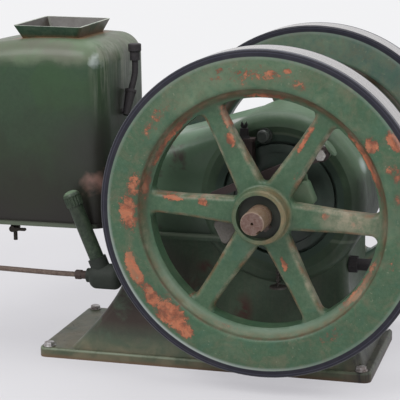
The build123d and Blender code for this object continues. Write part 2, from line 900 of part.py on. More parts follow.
# Cup on the shelf, closed by a plug with two pointed wings
with BuildPart() as oil_cup:
    cup_seat = Plane(origin=(cup_x, cup_y, shelf_z + shelf_thickness), x_dir=(1, 0, 0), z_dir=(0, -1, 0))
    with BuildSketch(cup_seat):
        with BuildLine():
            Polyline(
                (0, 0),
                (cup_radius, 0),
                (cup_shoulder_radius, cup_skirt_height),
                (cup_top_radius, cup_body_height),
                (cup_neck_radius, cup_body_height),
                (cup_neck_radius, (cup_body_height + cup_wing_notch) / 2),
                (0, (cup_body_height + cup_wing_notch) / 2),
                close=True,
            )
        make_face()
    revolve(axis=Axis((cup_x, cup_y, 0), (0, 0, 1)))
    with BuildSketch(cup_seat):
        Polygon(
            (-cup_neck_radius, cup_body_height),
            (cup_neck_radius, cup_body_height),
            (cup_wing_spread, cup_wing_notch),
            (cup_neck_radius, cup_wing_height),
            (0, cup_wing_notch),
            (-cup_neck_radius, cup_wing_height),
            (-cup_wing_spread, cup_wing_notch),
            align=None,
        )
    extrude(amount=cup_wing_thickness / 2, both=True)
save(oil_cup, "oil_cup")

# Oiler on the hopper's right wall: a tapered body with a collar, a leaning tube and a cap
oiler_foot_point = Vector(hopper_right + oiler_foot_radius + oiler_foot_gap, oiler_foot_y, oiler_foot_z)
oiler_collar_point = Vector(
    hopper_right + oiler_collar_radius + oiler_collar_gap, oiler_collar_y, oiler_collar_z
)
oiler_head_point = Vector(hopper_right + oiler_reach, oiler_y, oiler_top - oiler_cap_height)
with BuildPart() as oiler_foot:
    oiler_body = oiler_collar_point - oiler_foot_point
    with Locations(Plane(origin=oiler_foot_point, z_dir=oiler_body)):
        Cone(
            oiler_foot_radius, oiler_body_radius, oiler_body.length,
            align=(Align.CENTER, Align.CENTER, Align.MIN),
        )
    rod_between(
        oiler_collar_point, oiler_collar_point + oiler_body.normalized() * oiler_collar_height,
        oiler_collar_radius,
    )
    stub_level = oiler_foot_z + oiler_foot_radius
    stub_share = oiler_foot_radius / oiler_body.Z
    stub_end = oiler_foot_point + oiler_body * stub_share
    rod_between((hopper_right, stub_end.Y, stub_level), stub_end, oiler_foot_radius - shaft_chamfer)
save(oiler_foot, "oiler_foot")

with BuildPart() as oiler_tube:
    with BuildLine() as tube_path:
        FilletPolyline(
            oiler_collar_point,
            (oiler_head_point.X, oiler_y, oiler_bend_z),
            oiler_head_point,
            radius=oiler_bend_radius,
        )
    with BuildSketch(Plane(origin=tube_path.line @ 0, z_dir=tube_path.line % 0)):
        Circle(oiler_tube_radius)
    sweep()
    add(oiler_foot.part, mode=Mode.SUBTRACT)
save(oiler_tube, "oiler_tube")

with BuildPart() as oiler_cap:
    lid_level = oiler_top - oiler_cap_lid_height
    oiler_axis_top = Vector(oiler_head_point.X, oiler_y, oiler_top)
    rod_between((oiler_head_point.X, oiler_y, lid_level), oiler_axis_top, oiler_cap_radius)
    fillet(oiler_cap.edges().filter_by(GeomType.CIRCLE), oiler_cap_rounding)
    rod_between(oiler_head_point, oiler_axis_top, oiler_cap_foot_radius)
save(oiler_cap, "oiler_cap")

# Fuel filler: slanted pipe with a cap above and a tee below
tee_centre = (tee_x, fuel_y, tee_z)
filler_top = (filler_top_x, fuel_y, filler_top_z)
filler_line = Edge.make_line(tee_centre, filler_top)
with BuildPart() as fuel_tee:
    rod_between((tee_x - tee_left, fuel_y, tee_z), (tee_x + tee_right, fuel_y, tee_z), tee_radius)
    fillet(fuel_tee.edges().filter_by(GeomType.CIRCLE), tee_rounding)
    rod_between(tee_centre, filler_line @ tee_neck, tee_neck_radius)
    rod_between((tee_x - tee_collar_reach, fuel_y, tee_z), tee_centre, tee_collar_radius)
save(fuel_tee, "fuel_tee")

with BuildPart() as filler_pipe:
    rod_between(filler_line @ tee_neck, filler_top, filler_radius)
save(filler_pipe, "filler_pipe")

with BuildPart() as filler_cap:
    cap_direction = filler_line % 1
    rod_between(filler_top, Vector(*filler_top) + cap_direction * filler_cap_height, filler_cap_radius)
    fillet(filler_cap.edges().filter_by(GeomType.CIRCLE).sort_by(Axis.Z)[-1], filler_cap_rounding)
save(filler_cap, "filler_cap")

with BuildPart() as fuel_nipple:
    with BuildLine() as nipple_path:
        FilletPolyline(
            (tee_x + tee_right, fuel_y, tee_z),
            (nipple_x, fuel_y, tee_z),
            (nipple_x, -pedestal_half_width, tee_z),
            radius=fuel_line_bend,
        )
    with BuildSketch(Plane(origin=nipple_path.line @ 0, z_dir=nipple_path.line % 0)):
        Circle(nipple_radius)
    sweep()
    add(crankcase.part, mode=Mode.SUBTRACT)
    add(fuel_tee.part, mode=Mode.SUBTRACT)
save(fuel_nipple, "fuel_nipple")

with BuildPart() as fuel_nut:
    collar_end = tee_x - tee_collar_reach
    nut_right = collar_end - fuel_nut_neck
    with BuildSketch(Plane.YZ.offset(nut_right - fuel_nut_length)):
        with Locations((fuel_y, tee_z)):
            RegularPolygon(fuel_nut_radius, 6)
    extrude(amount=fuel_nut_length)
    rod_between((nut_right, fuel_y, tee_z), (collar_end, fuel_y, tee_z), fuel_nut_neck_radius)
save(fuel_nut, "fuel_nut")

with BuildPart() as fuel_line:
    line_start = nut_right - fuel_nut_length
    with BuildLine() as line_path:
        FilletPolyline(
            (line_start, fuel_y, tee_z),
            (line_start - fuel_line_start, fuel_y, tee_z),
            (mixer_x, fuel_y, tee_z + fuel_line_rise),
            (mixer_x, mixer_y, tee_z + fuel_line_rise),
            (mixer_x, mixer_y, mixer_bottom),
            radius=fuel_line_bend,
        )
    with BuildSketch(Plane(origin=line_path.line @ 0, z_dir=line_path.line % 0)):
        Circle(fuel_line_radius)
    sweep()
save(fuel_line, "fuel_line")

# Drain cock under the hopper, with a handle that turns a quarter turn
drain_top = (drain_x, drain_y, hopper_bottom)
with BuildPart() as drain_cock:
    with Locations((drain_x, drain_y, drain_plug_z)):
        Cylinder(drain_bulb_radius, drain_bulb_height)
    fillet(drain_cock.edges().filter_by(GeomType.CIRCLE), drain_radius)
    rod_between(drain_top, (drain_x, drain_y, drain_plug_z), drain_radius)
    rod_between((drain_x, drain_y, drain_plug_z), (drain_x, drain_y, drain_spout_z), drain_spout_radius)
    rod_between(
        (drain_x, drain_y + drain_plug_reach, drain_plug_z),
        (drain_x, drain_y - drain_plug_reach, drain_plug_z), drain_plug_radius,
    )
save(drain_cock, "drain_cock")

with BuildPart() as drain_handle:
    with BuildSketch(upright_plane(drain_y - drain_plug_reach - seat_gap)):
        with Locations((drain_x, drain_plug_z)):
            Circle(drain_plug_radius)
        with Locations((drain_x + drain_handle_reach / 2, drain_plug_z)):
            SlotCenterToCenter(drain_handle_reach, drain_handle_width)
    extrude(amount=drain_handle_thickness)
save(drain_handle, "drain_handle")

# Oil filler: a pipe with a nut on the crankcase's right end, and an upright cup on its elbow
with BuildPart() as oil_filler_pipe:
    rod_between(
        (pedestal_right, oil_filler_y, oil_filler_z), (oil_filler_x, oil_filler_y, oil_filler_z),
        oil_pipe_radius,
    )
    with BuildSketch(Plane.YZ.offset(pedestal_right)):
        with Locations((oil_filler_y, oil_filler_z)):
            RegularPolygon(oil_nut_radius, 6)
    extrude(amount=oil_nut_length)
    cup_base = oil_filler_z + oil_pipe_radius + oil_pipe_collar
    rod_between(
        (oil_filler_x, oil_filler_y, oil_filler_z - oil_pipe_radius - oil_pipe_collar),
        (oil_filler_x, oil_filler_y, cup_base), oil_pipe_radius + oil_pipe_collar,
    )
save(oil_filler_pipe, "oil_filler_pipe")

with BuildPart() as oil_filler_cup:
    rod_between(
        (oil_filler_x, oil_filler_y, cup_base), (oil_filler_x, oil_filler_y, cup_base + oil_filler_height),
        oil_filler_radius,
    )
    chamfer(oil_filler_cup.edges().group_by(Axis.Z)[-1], shaft_chamfer)
save(oil_filler_cup, "oil_filler_cup")
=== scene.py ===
import bmesh
import bpy
import json
from math import cos, pi, radians, sin, sqrt
from mathutils import Matrix, Vector


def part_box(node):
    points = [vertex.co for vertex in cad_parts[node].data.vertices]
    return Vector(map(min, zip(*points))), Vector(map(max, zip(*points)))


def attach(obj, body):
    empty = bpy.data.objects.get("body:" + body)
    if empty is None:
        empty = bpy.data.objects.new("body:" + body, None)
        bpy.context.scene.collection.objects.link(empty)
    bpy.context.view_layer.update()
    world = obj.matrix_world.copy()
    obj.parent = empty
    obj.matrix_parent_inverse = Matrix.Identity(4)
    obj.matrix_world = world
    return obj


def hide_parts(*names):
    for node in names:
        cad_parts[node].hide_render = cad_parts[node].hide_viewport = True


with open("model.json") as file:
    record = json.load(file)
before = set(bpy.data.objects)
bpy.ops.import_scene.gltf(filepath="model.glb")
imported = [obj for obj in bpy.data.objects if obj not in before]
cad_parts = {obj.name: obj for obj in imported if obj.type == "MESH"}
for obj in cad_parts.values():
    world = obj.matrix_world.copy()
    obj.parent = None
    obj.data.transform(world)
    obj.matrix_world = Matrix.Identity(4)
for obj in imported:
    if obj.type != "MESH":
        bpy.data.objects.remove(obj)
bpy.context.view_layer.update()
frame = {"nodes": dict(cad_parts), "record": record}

bl_info = {
    "name": "Hit-and-miss engine",
    "version": (1, 0, 0),
    "blender": (4, 5, 0),
    "location": "View3D > Sidebar > Engine",
    "description": "Finishes and small parts of a worn stationary engine",
    "category": "Object",
}


# Places read from the frame
def middle(node):
    low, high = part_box(node)
    return (low + high) / 2


SHAFT = middle("crankshaft")
MOUTH = middle("hopper_mouth")
HEAD_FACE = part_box("cylinder_head")[0].x

# The view of the photo, and the light round it
CAMERA_PLACE = (0.68104, -2.41517, 0.83308)
CAMERA_YAW, CAMERA_PITCH, CAMERA_ROLL = radians(16.4624), radians(12.2610), radians(-0.8607)
SENSOR_WIDTH = 36
CLIP_END = 50
BACKDROP = (0.89, 0.89, 0.905)
# Darker floor glow near the engine: painted shade
SHADED_NEAR_FLOOR = (0.62, 0.61, 0.645)
FLOOR_HALF_WIDTH = 12
FLOOR_ROUGHNESS = 0.8
# Name, place, target, size in metres and power in watts
LAMPS = (
    ("Key", (-1.4, -2.6, 3.0), (-0.1, 0, 0.3), 1.8, 105),
    ("Fill", (2.3, -1.7, 2.6), (0.0, 0, 0.3), 1.4, 46),
    ("Top", (0.2, 0.6, 3.4), (0, 0, 0.3), 2.4, 60),
)

# How every finish takes the light
BUMP_STRENGTH = 0.7
COAT_ROUGHNESS = 0.22
SPECULAR_LEVEL = 0.27

# Small parts: profiles are pairs of radius and height
WASHER = ((0, 0), (0.0112, 0), (0.0115, 0.0004), (0.0115, 0.0014), (0.0111, 0.0018), (0, 0.0018))
ROUND_HEAD = ((0, 0), (0.0045, 0), (0.0045, 0.0022), (0.0036, 0.0040), (0.0018, 0.0050), (0, 0.0052))
HEAD_STUD = ((0, 0), (0.0055, 0), (0.0055, 0.0175), (0.0045, 0.019), (0, 0.0192))
LEVER_SPACER = ((0, 0), (0.0065, 0), (0.0065, 0.012), (0, 0.012))
HEX_CHAMFER = 0.0015
BOLT_HEIGHT = 0.0062
BOLT_SEAT = 0.0016
NUT_HEIGHT = 0.012
HEAD_NUTS_ACROSS, HEAD_NUTS_UP = 0.060, 0.050
FLANGE_BOLTS_ALONG = (-0.0414, -0.0081)
FLANGE_BOLTS_ACROSS, FLANGE_TOP = 0.1085, 0.2488
LEVER_FACE = -0.140
LEVER_OUTWARD = Vector((1, 0, 0.72)).normalized()
LEVER_CAP_OFFSET, LEVER_SPACER_OFFSET = 0.016, 0.0055
KNOB_HEIGHT, KNOB_DOME = 0.029, 0.0105
KNOB_LEAN = Vector((-0.374, 0, 0.928))
FLUTES, FLUTE_DEPTH = 16, 0.0018
SHARP_EDGE = radians(32)


# Settings that a user would change
def length(label, description, value):
    return bpy.props.FloatProperty(name=label, description=description, default=value, unit="LENGTH")


class EngineSizes(bpy.types.PropertyGroup):
    bolt_head: length("Base bolt head", "Width of the base bolts' heads across the flats", 0.017)
    bolt_spacing_x: length("Bolt spacing along", "Distance between base bolts along the engine", 0.592)
    bolt_spacing_y: length("Bolt spacing across", "Distance between base bolts across the engine", 0.246)
    plate_top: length("Plate thickness", "Height of the base plate's top", 0.019)
    head_nut: length("Head nut", "Width of the cylinder head's nuts across the flats", 0.019)
    lever_disc: length("Lever disc", "Radius of the round cap beside the lever's stud", 0.0155)
    filler_cap: length("Filler cap", "Radius of the fuel filler's cap", 0.0158)
    lens: bpy.props.FloatProperty(
        name="Lens", description="Focal length of the camera", default=123.66, unit="CAMERA",
    )


def colour(label, description, value):
    return bpy.props.FloatVectorProperty(
        name=label, description=description, subtype="COLOR", size=3, min=0, max=1, default=value,
    )


class EngineColours(bpy.types.PropertyGroup):
    green: colour("Green", "Sound green paint", (0.019, 0.045, 0.021))
    wheel: colour("Wheel green", "Green paint on the flywheels", (0.035, 0.078, 0.041))
    faded: colour("Faded green", "Chalky green where the paint has weathered", (0.125, 0.165, 0.105))
    dark: colour("Dark green", "Oily green on the crankcase", (0.046, 0.070, 0.056))
    primer: colour("Primer", "Coral primer that shows through chips", (0.43, 0.120, 0.058))
    soot: colour("Soot", "Black oil and soot", (0.016, 0.013, 0.012))
    dust: colour("Dust", "Pale dust and worn paint along edges", (0.25, 0.215, 0.155))
    tyre: colour("Rim band", "Blue-black paint on the rims' edges", (0.0065, 0.0065, 0.0130))
    steel: colour("Steel", "Bare steel on the rims", (0.52, 0.51, 0.51))
    floor: colour("Floor", "Pale floor and backdrop", (0.86, 0.86, 0.86))


# Both are set by main from the scene's settings
SIZES = None
COLOURS = None


# Shader helpers
def new_material(name):
    material = bpy.data.materials.new(name)
    material.use_nodes = True
    material.node_tree.nodes.clear()
    output = material.node_tree.nodes.new("ShaderNodeOutputMaterial")
    shader = material.node_tree.nodes.new("ShaderNodeBsdfPrincipled")
    material.node_tree.links.new(shader.outputs["BSDF"], output.inputs["Surface"])
    return material, material.node_tree, shader


def fill_inputs(tree, node, inputs):
    """Links sockets to a node's inputs, and sets the inputs that are given as numbers or colours."""
    for key, value in inputs.items():
        if isinstance(value, bpy.types.NodeSocket):
            tree.links.new(value, node.inputs[key])
        elif isinstance(value, tuple) and len(value) == 3 and node.inputs[key].type == "RGBA":
            node.inputs[key].default_value = (*value, 1)
        else:
            node.inputs[key].default_value = value
    return node


def make_node(tree, kind, inputs=None, **settings):
    node = tree.nodes.new("ShaderNode" + kind)
    for key, value in settings.items():
        setattr(node, key, value)
    return fill_inputs(tree, node, inputs or {})


def noise(tree, place, scale, detail=6, roughness=0.6, distortion=0):
    values = {"Vector": place, "Scale": scale, "Detail": detail, "Roughness": roughness, "Distortion": distortion}
    return make_node(tree, "TexNoise", values).outputs["Fac"]


def vector_maths(tree, operation, first, second):
    return make_node(tree, "VectorMath", {0: first, 1: second}, operation=operation).outputs["Vector"]


def vector_length(tree, vector):
    return make_node(tree, "VectorMath", {0: vector}, operation="LENGTH").outputs["Value"]


def wobbled(tree, place, scale, size):
    """Coordinates shifted a little at random, smoothly from place to place."""
    colors = make_node(tree, "TexNoise", {"Vector": place, "Scale": scale, "Detail": 4.0}).outputs["Color"]
    centred = vector_maths(tree, "SUBTRACT", colors, (0.5, 0.5, 0.5))
    return vector_maths(tree, "ADD", place, vector_maths(tree, "MULTIPLY", centred, (size, size, size)))


def ramp(tree, value, low, high, to_low=0.0, to_high=1.0):
    """Carries a value evenly from one span to another, and holds it at the ends."""
    values = {"Value": value, "From Min": low, "From Max": high, "To Min": to_low, "To Max": to_high}
    return make_node(tree, "MapRange", values).outputs["Result"]


def ring(tree, value, low, full, fade, high):
    """1 while a value lies between full and fade, falling to 0 at low and at high."""
    return times(tree, ramp(tree, value, low, full), ramp(tree, value, high, fade))


def maths(tree, operation, first, second=0.0, third=0.0):
    return make_node(tree, "Math", {0: first, 1: second, 2: third}, operation=operation).outputs["Value"]


def times(tree, *values):
    total = values[0]
    for value in values[1:]:
        total = maths(tree, "MULTIPLY", total, value)
    return total


def largest(tree, values):
    total = values[0]
    for value in values[1:]:
        total = maths(tree, "MAXIMUM", total, value)
    return total


def added(tree, *values):
    total = values[0]
    for value in values[1:]:
        total = maths(tree, "ADD", total, value)
    return total


def mix(tree, share, first, second, label=""):
    """The first colour, or the second where the share is 1."""
    node = make_node(tree, "Mix", data_type="RGBA", label=label)
    return fill_inputs(tree, node, {0: share, 6: first, 7: second}).outputs[2]


def layered(tree, color, *layers):
    """Lays tints over a colour in order: each is a label, a tint and the shares that make its strength."""
    for label, tint, *shares in layers:
        color = mix(tree, times(tree, *shares), color, tint, label)
    return color


def group_tree(name, inputs, outputs):
    """A shader node group with its sockets, given as kinds with their labels, and its two end nodes."""
    tree = bpy.data.node_groups.new(name, "ShaderNodeTree")
    for way, kinds in (("INPUT", inputs), ("OUTPUT", outputs)):
        for kind, labels in kinds:
            for label in labels:
                tree.interface.new_socket(label, in_out=way, socket_type="NodeSocket" + kind)
    return tree, tree.nodes.new("NodeGroupInput").outputs, tree.nodes.new("NodeGroupOutput").inputs


def place_group(tree, name, inputs):
    """Puts a node group in a material and gives its outputs."""
    node = tree.nodes.new("ShaderNodeGroup")
    node.node_tree = bpy.data.node_groups[name]
    return fill_inputs(tree, node, inputs).outputs


def make_worn_paint_group():
    """Old enamel on cast iron: shade changes, chips down to primer, oily dirt and fine grit."""
    tree, given, result = group_tree(
        "Worn paint",
        (
            ("Vector", ("Place",)),
            ("Color", ("Paint", "Faded", "Primer", "Dirt")),
            ("Float", ("Fading", "Chips", "Browning", "Dirtiness", "Grit")),
        ),
        (("Color", ("Color",)), ("Float", ("Roughness", "Height"))),
    )
    place = given["Place"]

    # Shade, from sound to chalky
    broad = noise(tree, place, 6.5, 4, 0.55, 0.3)
    cloud = noise(tree, place, 24.0, 8, 0.64)
    fleck = noise(tree, place, 120.0, 9, 0.78)
    grain = noise(tree, place, 480.0, 3, 0.6)
    shade = added(tree, times(tree, broad, 0.5), times(tree, cloud, 0.5))
    faded_low = maths(tree, "SUBTRACT", 0.72, times(tree, given["Fading"], 0.5))
    faded = ramp(tree, shade, faded_low, added(tree, faded_low, 0.26))
    base = mix(tree, times(tree, faded, 0.8), given["Paint"], given["Faded"])
    speckled = mix(tree, times(tree, ramp(tree, fleck, 0.42, 0.72, 0.0, 0.34), given["Grit"]), base, given["Faded"])
    dulled = mix(tree, times(tree, ramp(tree, fleck, 0.5, 0.3, 0.0, 0.4), given["Grit"]), speckled, given["Paint"])

    # Chips with brown edges, and primer in them that has gone brown in places
    worn = added(tree, times(tree, cloud, 0.42), times(tree, fleck, 0.58))
    limit = maths(tree, "SUBTRACT", 0.76, times(tree, given["Chips"], 0.36))
    chip = ramp(tree, worn, limit, added(tree, limit, 0.014))
    halo = ramp(tree, worn, maths(tree, "SUBTRACT", limit, 0.055), limit, 0.0, 0.6)
    brown = mix(tree, 0.76, given["Primer"], given["Dirt"])
    browned = ramp(tree, noise(tree, place, 34.0, 8, 0.66, 0.5), 0.54, 0.44)
    brown_share = maths(tree, "MULTIPLY_ADD", browned, given["Browning"], times(tree, given["Browning"], 0.2))
    primer = mix(tree, ramp(tree, fleck, 0.3, 0.7, 0.0, 0.3), given["Primer"], given["Faded"])
    primer = mix(tree, maths(tree, "MINIMUM", brown_share, 1.0), primer, brown)
    painted = mix(tree, chip, mix(tree, halo, dulled, brown), primer)

    # Oily dirt, shine and relief
    grime = times(tree, ramp(tree, noise(tree, place, 12.0, 7, 0.66, 0.4), 0.4, 0.62), given["Dirtiness"])
    tree.links.new(mix(tree, grime, painted, given["Dirt"]), result["Color"])
    rough = ramp(tree, cloud, 0.3, 0.7, 0.4, 0.58)
    rough = added(tree, rough, times(tree, chip, 0.28))
    tree.links.new(maths(tree, "SUBTRACT", rough, times(tree, grime, 0.1)), result["Roughness"])
    lumps = added(tree, times(tree, cloud, 0.55), times(tree, fleck, given["Grit"], 0.4), times(tree, grain, 0.15))
    tree.links.new(maths(tree, "SUBTRACT", lumps, times(tree, chip, 0.35)), result["Height"])


def make_rust_group():
    """Bare iron with a brown rust film, brighter where it is rubbed."""
    tree, given, result = group_tree(
        "Rust film",
        (("Vector", ("Place",)), ("Color", ("Metal", "Rust")), ("Float", ("Rusted",))),
        (("Color", ("Color",)), ("Float", ("Roughness", "Metallic", "Height"))),
    )
    place = given["Place"]
    cloud = noise(tree, place, 34.0, 8, 0.65)
    speck = noise(tree, place, 260.0, 6, 0.7)
    film = added(tree, times(tree, cloud, 0.6), times(tree, speck, 0.4))
    limit = maths(tree, "SUBTRACT", 0.8, times(tree, given["Rusted"], 0.6))
    covered = ramp(tree, film, limit, added(tree, limit, 0.16))
    light = mix(tree, ramp(tree, speck, 0.35, 0.7), given["Rust"], mix(tree, 0.3, given["Rust"], given["Metal"]))
    tree.links.new(mix(tree, covered, given["Metal"], light), result["Color"])
    tree.links.new(ramp(tree, covered, 0.0, 1.0, 0.3, 0.68), result["Roughness"])
    tree.links.new(maths(tree, "SUBTRACT", 1.0, covered), result["Metallic"])
    tree.links.new(added(tree, cloud, times(tree, speck, 0.5)), result["Height"])


def object_place(tree, centre=(0, 0, 0)):
    """Object coordinates counted from a centre."""
    place = make_node(tree, "TexCoord").outputs["Object"]
    shift = tuple(-value for value in centre)
    return make_node(tree, "Mapping", {"Vector": place, "Location": shift}).outputs["Vector"]


def split(tree, vector):
    return make_node(tree, "SeparateXYZ", {"Vector": vector}).outputs


def stretched(tree, place, scale):
    """Coordinates that make a noise run long along the axis with the smallest scale."""
    return make_node(tree, "Mapping", {"Vector": place, "Scale": scale}).outputs["Vector"]


def facing(tree):
    """The way that the surface faces, in the piece's own coordinates."""
    return split(tree, make_node(tree, "TexCoord").outputs["Normal"])


def spot(tree, place, centre, reach):
    """1 at a centre, falling to 0 at a reach along each axis."""
    scale = tuple(1 / value for value in reach)
    scaled = vector_maths(tree, "MULTIPLY", vector_maths(tree, "SUBTRACT", place, centre), scale)
    return ramp(tree, vector_length(tree, scaled), 1.0, 0.25)


def finish_shader(tree, shader, colour_socket, roughness, height, depth=0.0006, metallic=None, coat=0.0):
    """Joins colour, roughness, relief and metal to a shader."""
    tree.links.new(colour_socket, shader.inputs["Base Color"])
    tree.links.new(roughness, shader.inputs["Roughness"])
    if metallic is not None:
        tree.links.new(metallic, shader.inputs["Metallic"])
    bump = make_node(tree, "Bump", {"Height": height, "Strength": BUMP_STRENGTH, "Distance": depth})
    tree.links.new(bump.outputs["Normal"], shader.inputs["Normal"])
    shader.inputs["Coat Weight"].default_value = coat
    shader.inputs["Coat Roughness"].default_value = COAT_ROUGHNESS
    shader.inputs["Specular IOR Level"].default_value = SPECULAR_LEVEL


def worn_paint(tree, place, paint, fading, chips, dirtiness, browning=0.3, faded=None, grit=1.0):
    """The worn paint group with this engine's colours; numbers or masks set how worn it is."""
    return place_group(tree, "Worn paint", {
        "Place": place, "Paint": paint, "Faded": faded or tuple(COLOURS.faded), "Primer": tuple(COLOURS.primer),
        "Dirt": tuple(COLOURS.soot), "Fading": fading, "Chips": chips, "Browning": browning,
        "Dirtiness": dirtiness, "Grit": grit,
    })


def painted(name, paint, fading, chips, dirtiness, browning=0.6, coat=0.1, faded=None):
    """A painted casting with the same wear all over."""
    material, tree, shader = new_material(name)
    worn = worn_paint(tree, object_place(tree), paint, fading, chips, dirtiness, browning, faded)
    finish_shader(tree, shader, worn["Color"], worn["Roughness"], worn["Height"], coat=coat)
    return material


def rusty(name, metal, rust, rusted):
    """Bare metal with a rust film."""
    material, tree, shader = new_material(name)
    values = {"Place": object_place(tree), "Metal": metal, "Rust": rust, "Rusted": rusted}
    film = place_group(tree, "Rust film", values)
    finish_shader(tree, shader, film["Color"], film["Roughness"], film["Height"], metallic=film["Metallic"])
    return material


# Wear and painted light on the near wheel, as angle, half angle, radius, half width and strength
FACE_CHIPS = (
    (92, 28, 0.240, 0.034, 0.53), (86, 6, 0.243, 0.014, 0.74), (98, 5, 0.244, 0.010, 0.68),
    (73, 8, 0.232, 0.022, 0.56), (79, 3, 0.250, 0.009, 0.8), (105, 4, 0.252, 0.010, 0.6),
    (181, 13, 0.230, 0.030, 0.94), (167, 12, 0.225, 0.026, 0.76), (206, 16, 0.245, 0.020, 0.95),
    (217, 9, 0.242, 0.024, 1.0), (229, 17, 0.237, 0.036, 0.98), (237, 8, 0.244, 0.022, 1.0),
    (223, 14, 0.236, 0.030, 0.70), (34, 6, 0.226, 0.022, 1.0), (31, 7, 0.260, 0.016, 1.0),
    (20, 10, 0.240, 0.026, 0.72), (10, 8, 0.232, 0.014, 0.72), (300, 16, 0.232, 0.022, 0.54),
    (136, 24, 0.240, 0.028, 0.47), (345, 12, 0.236, 0.022, 0.52),
)
COVE_CHIPS = (
    (27, 27, 0.204, 0.010, 1.05), (138, 34, 0.204, 0.010, 0.85), (326, 27, 0.205, 0.011, 0.92),
    (168, 12, 0.206, 0.012, 0.8), (85, 30, 0.202, 0.010, 0.66), (250, 30, 0.206, 0.008, 0.5),
)
SPOKE_CHIPS = (
    (110, 5, 0.175, 0.034, 1.0), (113, 6, 0.135, 0.025, 0.7), (60.5, 3.5, 0.150, 0.055, 0.85),
    (1, 7, 0.106, 0.015, 0.72), (229, 4, 0.186, 0.022, 0.9), (227, 6, 0.130, 0.030, 0.7),
    (294, 6, 0.090, 0.026, 0.85), (172, 4, 0.160, 0.040, 0.8), (170, 8, 0.105, 0.016, 0.8),
    (356, 7, 0.160, 0.026, 0.46), (50, 5, 0.09, 0.03, 0.5),
)
# Painted highlight along the rim's lower left edge
LIT_RIM_EDGE = (232, 68, 0.2685, 0.012, 1.0)
# Painted light: paler paint at the top of the wheel
LIT_TOP_PATCH = (98, 48, 0.240, 0.060, 0.34)
DUSTY_SPOKE = (358, 18, 0.150, 0.070, 1.0)
SPOKE_ANGLE = -3.5
SPOKE_STEP = 60

# Rings on the wheels, as the radii where each begins, is full, starts to fade and ends
HUB_RING = (0.0375, 0.0395, 0.046, 0.052)
SPOKE_RING = (0.052, 0.070, 0.185, 0.200)
# The cove's lower ring takes painted light, its upper ring brown paint with painted shade
LIT_COVE_RING = (0.199, 0.204, 0.2115, 0.2130)
SHADED_COVE_RING = (0.200, 0.2045, 0.2115, 0.2145)
INNER_RING = (0.204, 0.209, 0.211, 0.216)
SEAM_RING = (0.2105, 0.2125, 0.2135, 0.2155)
OUTER_RING = (0.2615, 0.2655, 0.2678, 0.2690)
BAND_HIGHLIGHT_RING = (0.2738, 0.2744, 0.2750, 0.2756)

# Steps on the wheels, as the radii or the distances from the rim's middle where each begins and is full
BORE_STEP, FACE_STEP = (0.0388, 0.0378), (0.212, 0.216)
BAND_STEP, RIM_STEP, LIT_CORNER_STEP = (0.2672, 0.2682), (0.2785, 0.2795), (0.2790, 0.2796)
POLISHED_REACH, LIT_CORNER_REACH = (0.0300, 0.0285), (0.0335, 0.0345)

# Bands on the crankcase, given like the rings: heights, and radii for the side covers
PEDESTAL_BAND = (0.03, 0.075, 0.17, 0.24)
PLATE_EDGE_BAND = (0.0135, 0.0155, 0.0180, 0.0195)
LEDGE_HIGHLIGHT_BAND = (0.2445, 0.2465, 0.250, 0.252)
LIT_COVER_LIP_RING, COVER_CONE_STEP = (0.1150, 0.1165, 0.1195, 0.1215), (0.1175, 0.1155)

# Marks in one place, as a centre and a reach along each axis
# Painted highlight on the hopper's rounded front right corner
CORNER_HIGHLIGHT = ((-0.190, -0.118, 0.558), (0.0135, 0.026, 0.021))
RUBBED_PAINT = ((-0.190, -0.12, 0.337), (0.038, 0.06, 0.024))
SOOTY_FRONT = ((-0.19, -0.09, 0.40), (0.11, 0.1, 0.10))
SOOTY_SIDE = ((-0.172, -0.04, 0.46), (0.06, 0.05, 0.10))
# Painted highlight on the drum's right side
DRUM_HIGHLIGHT = ((0.290, -0.070, 0.386), (0.011, 0.035, 0.024))
# Painted highlight on the block's top, beside the drum
BLOCK_HIGHLIGHT = ((0.056, -0.092, 0.460), (0.026, 0.045, 0.022))
RED_MARKS = (
    ((-0.013, -0.1, 0.146), (0.028, 0.04, 0.022)),
    ((0.009, -0.1, 0.185), (0.024, 0.04, 0.016)),
)
RED_STREAK = ((0.078, -0.1, 0.110), (0.022, 0.04, 0.036))
SHAFT_NICK = ((SHAFT.x + 0.016, -0.32, SHAFT.z + 0.012), (0.009, 0.02, 0.009))

# Paints and metals of single castings, as linear colours
FAR_WHEEL = (0.056, 0.095, 0.077)
MOUTH_GREEN = (0.018, 0.046, 0.028)
# The drum's green is a lighter, lit copy of the crankcase's green
CASE_GREEN, LIT_DRUM_GREEN = (0.046, 0.074, 0.048), (0.074, 0.125, 0.075)
BLOCK_GREEN = (0.086, 0.146, 0.092)
KNOB_GREEN = (0.013, 0.024, 0.013)
WORN_STEEL, DULL_STEEL = (0.3, 0.26, 0.24), (0.36, 0.34, 0.33)
SHAFT_SIDE, SHAFT_END = (0.120, 0.072, 0.036), (0.080, 0.038, 0.028)
LIGHT_SCALE, DARK_SCALE = (0.046, 0.040, 0.034), (0.022, 0.016, 0.012)
PLATE_GREEN, PLATE_DIRT = (0.060, 0.072, 0.044), (0.136, 0.114, 0.071)
EDGE_RUST = (0.165, 0.075, 0.040)
WORN_BAND = (0.06, 0.055, 0.06)


def polar(tree, place):
    """Radius and angle about the shaft, and place along it, from coordinates counted from its axis."""
    parts = split(tree, place)
    flat = make_node(tree, "CombineXYZ", {"X": parts["X"], "Z": parts["Z"]}).outputs["Vector"]
    return vector_length(tree, flat), maths(tree, "ARCTAN2", parts["Z"], parts["X"]), parts["Y"]


def wheel_patch(tree, radius, angle, centre, half_angle, orbit, half_width, strength):
    """A curved patch on the wheel, as strong as given in its middle."""
    apart = maths(tree, "WRAP", maths(tree, "SUBTRACT", angle, radians(centre)), pi, -pi)
    turn = times(tree, apart, 1 / radians(half_angle))
    rise = times(tree, maths(tree, "SUBTRACT", radius, orbit), 1 / half_width)
    far = maths(tree, "SQRT", added(tree, times(tree, turn, turn), times(tree, rise, rise)))
    return ramp(tree, far, 1.0, 0.2, 0.0, strength)


